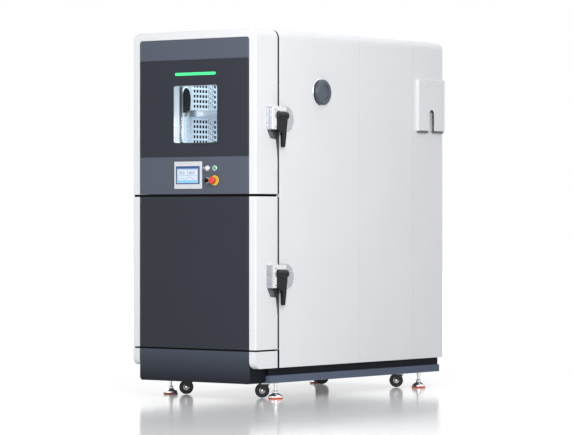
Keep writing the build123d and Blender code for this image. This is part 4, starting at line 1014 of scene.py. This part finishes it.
def door_outline(low, high, corner):
    """The outline of a door from its bottom left over the top to its bottom right."""
    left, right = low.x + SEAM_INSET, high.x - SEAM_INSET
    bottom, top = low.z + SEAM_INSET, high.z - SEAM_INSET
    radius = corner - SEAM_INSET
    points = [(left, bottom)]
    for centre_x, start in ((left + radius, 180), (right - radius, 90)):
        for step in range(CORNER_STEPS + 1):
            angle = math.radians(start - 90 * step / CORNER_STEPS)
            x = centre_x + radius * math.cos(angle)
            points.append((x, top - radius + radius * math.sin(angle)))
    points.append((right, bottom))
    return points


def door_seam(level, corner):
    """A black strip round a door, between it and the cabinet, as painted shade in the seam."""
    low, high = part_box(f"{level}_door_frame")
    front, back = high.y - OVERLAP, cabinet_front - SEAM_GAP
    bottom = low.z + SEAM_INSET

    def strips(work):
        add_band(work, door_outline(low, high, corner), front, back, SEAM_WIDTH)
        start = (low.x + SEAM_WIDTH, front, bottom)
        add_block(work, start, (high.x - SEAM_WIDTH, back, bottom + SEAM_WIDTH))

    mesh_piece(f"{level}_seam_strip", strips, matt_black, f"{level}_door")


def gap_shade_block(name, body, low_z, high_z):
    """A black block in the level gap over or under the lower door, as painted shade in the gap."""
    low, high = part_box("lower_door_frame")
    start = (low.x + FILLER_INSET, low.y + FILLER_INSET, low_z)
    end = (high.x - FILLER_INSET, high.y - FILLER_SETBACK, high_z)
    mesh_piece(name, lambda work: add_block(work, start, end, 0.001), matt_black, body)


def base_seam():
    """Black strips that carry the seam's painted shade on down beside the base trims, on both
    sides.
    """
    trim_low, trim_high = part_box("base_side_trims")
    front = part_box("lower_door_frame")[1].y

    def strips(work):
        for side in (-1, 1):
            inner, outer = side * (trim_high.x - 0.001), side * (trim_high.x + BASE_STRIP_RISE)
            start = (min(inner, outer), front, trim_low.z)
            end = (max(inner, outer), cabinet_front - 0.001, trim_high.z + BASE_STRIP_TOP)
            add_block(work, start, end)

    mesh_piece("base_seam_strips", strips, matt_black, "cabinet")


def seams():
    """All the black strips and blocks that paint shade into the seams."""
    base_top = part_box("base_front_cover")[1].z
    lower_low, lower_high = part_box("lower_door_frame")
    upper_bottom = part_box("upper_door_frame")[0].z
    door_seam("upper", ROOF_CORNER)
    door_seam("lower", DOOR_CORNER)
    gap_shade_block("door_gap_shade", "lower_door", lower_high.z - OVERLAP, upper_bottom - SEAM_GAP)
    gap_shade_block("base_gap_shade", "cabinet", base_top - OVERLAP, lower_low.z - SEAM_GAP)
    base_seam()


seams()


# Details of the cable port, and painted shade at the document pocket

CAP_RIM_RADIUS = 0.070
CAP_RIM_START = 0.006
CAP_RIM_END = 0.022
CAP_RIM_OVERLAP = 0.003
CAP_RIM_SETBACK = 0.004

EDGE_REACH = 0.019
EDGE_WIDTH = 0.010
EDGE_TAPER = 0.0008
EDGE_STEPS = 9
EDGE_TURN = 16
EDGE_SUNK = 0.0015
EDGE_PROUD = 0.0006
ARCH_RISE = 0.098
SHADOW_BAR_DEPTH = 0.011
SHADOW_BAR_INSET = 0.010
SHADOW_BAR_BEFORE = 0.032
SHADOW_BAR_AFTER = 0.024


def port_cap_rim():
    """A rolled rim round the cap of the cable port."""
    low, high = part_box("port_plug")
    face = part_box("port_sleeve")[1].x
    centre = Vector((face - CAP_RIM_SETBACK, (low.y + high.y) / 2, (low.z + high.z) / 2))
    inner = (high.z - low.z) / 2 - CAP_RIM_OVERLAP
    outline = [
        (CAP_RIM_START, inner),
        (CAP_RIM_START, CAP_RIM_RADIUS - 0.002),
        (CAP_RIM_START + 0.002, CAP_RIM_RADIUS),
        (CAP_RIM_END - 0.004, CAP_RIM_RADIUS),
        (CAP_RIM_END, CAP_RIM_RADIUS - 0.004),
        (CAP_RIM_END, inner),
    ]
    finish = moulded("port_rim_rubber", (0.055, 0.062, 0.082), 0.3, 500.0, 0.002)

    def rim(work):
        add_turned(work, centre, (1, 0, 0), outline, 48)

    mesh_piece("port_cap_rim", rim, finish, "port_plug")


def slot_edge_rows(middle, bottom, arch_z):
    """The outer and inner (Y, Z) lines of the strip up one side and over the slot's arch."""
    outer = [(middle + EDGE_REACH, bottom), (middle + EDGE_REACH, arch_z)]
    widths = [EDGE_WIDTH, EDGE_WIDTH]
    for step in range(1, EDGE_STEPS + 1):
        angle = math.radians(EDGE_TURN * step)
        outer.append((middle + EDGE_REACH * math.cos(angle), arch_z + EDGE_REACH * math.sin(angle)))
        widths.append(EDGE_WIDTH - EDGE_TAPER * step)
    inner = []
    for (y, z), width in zip(outer, widths):
        inward = Vector((middle - y, min(z, arch_z) - z)).normalized() * width
        inner.append((y + inward.x, z + inward.y))
    return outer, inner


def pocket_painted_shade():
    """A black strip along one side of the pocket's slot and two dark bars under the pocket: painted
    shade in the slot's gap and painted shadow under the pocket.
    """
    low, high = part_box("side_pocket")
    middle = (low.y + high.y) / 2
    outer, inner = slot_edge_rows(middle, low.z + 0.001, low.z + ARCH_RISE)
    deep, proud = high.x - EDGE_SUNK, high.x + EDGE_PROUD
    sides = ((outer, deep), (inner, deep), (inner, proud), (outer, proud))

    # Painted shade: the strip stands in for the shadowed gap at the slot's edge.
    def strip(work):
        add_bar(work, [[(x, y, z) for y, z in row] for row, x in sides])

    # Painted shadow: dark bars under the pocket where it casts its shadow.
    def shadow_bars(work):
        front = (low.y + SHADOW_BAR_INSET, middle - SHADOW_BAR_BEFORE)
        rear = (middle + SHADOW_BAR_AFTER, high.y - SHADOW_BAR_INSET)
        for start, end in (front, rear):
            corner = (low.x, start, low.z - SHADOW_BAR_DEPTH)
            add_block(work, corner, (high.x - 0.004, end, low.z - OVERLAP), 0.0015)

    mesh_piece("pocket_slot_shade", strip, matt_black, "cabinet")
    shadow_bar_finish = moulded("pocket_shadow_bar", (0.16, 0.165, 0.18), 0.5)
    mesh_piece("pocket_shadow_bars", shadow_bars, shadow_bar_finish, "cabinet")


port_cap_rim()
pocket_painted_shade()
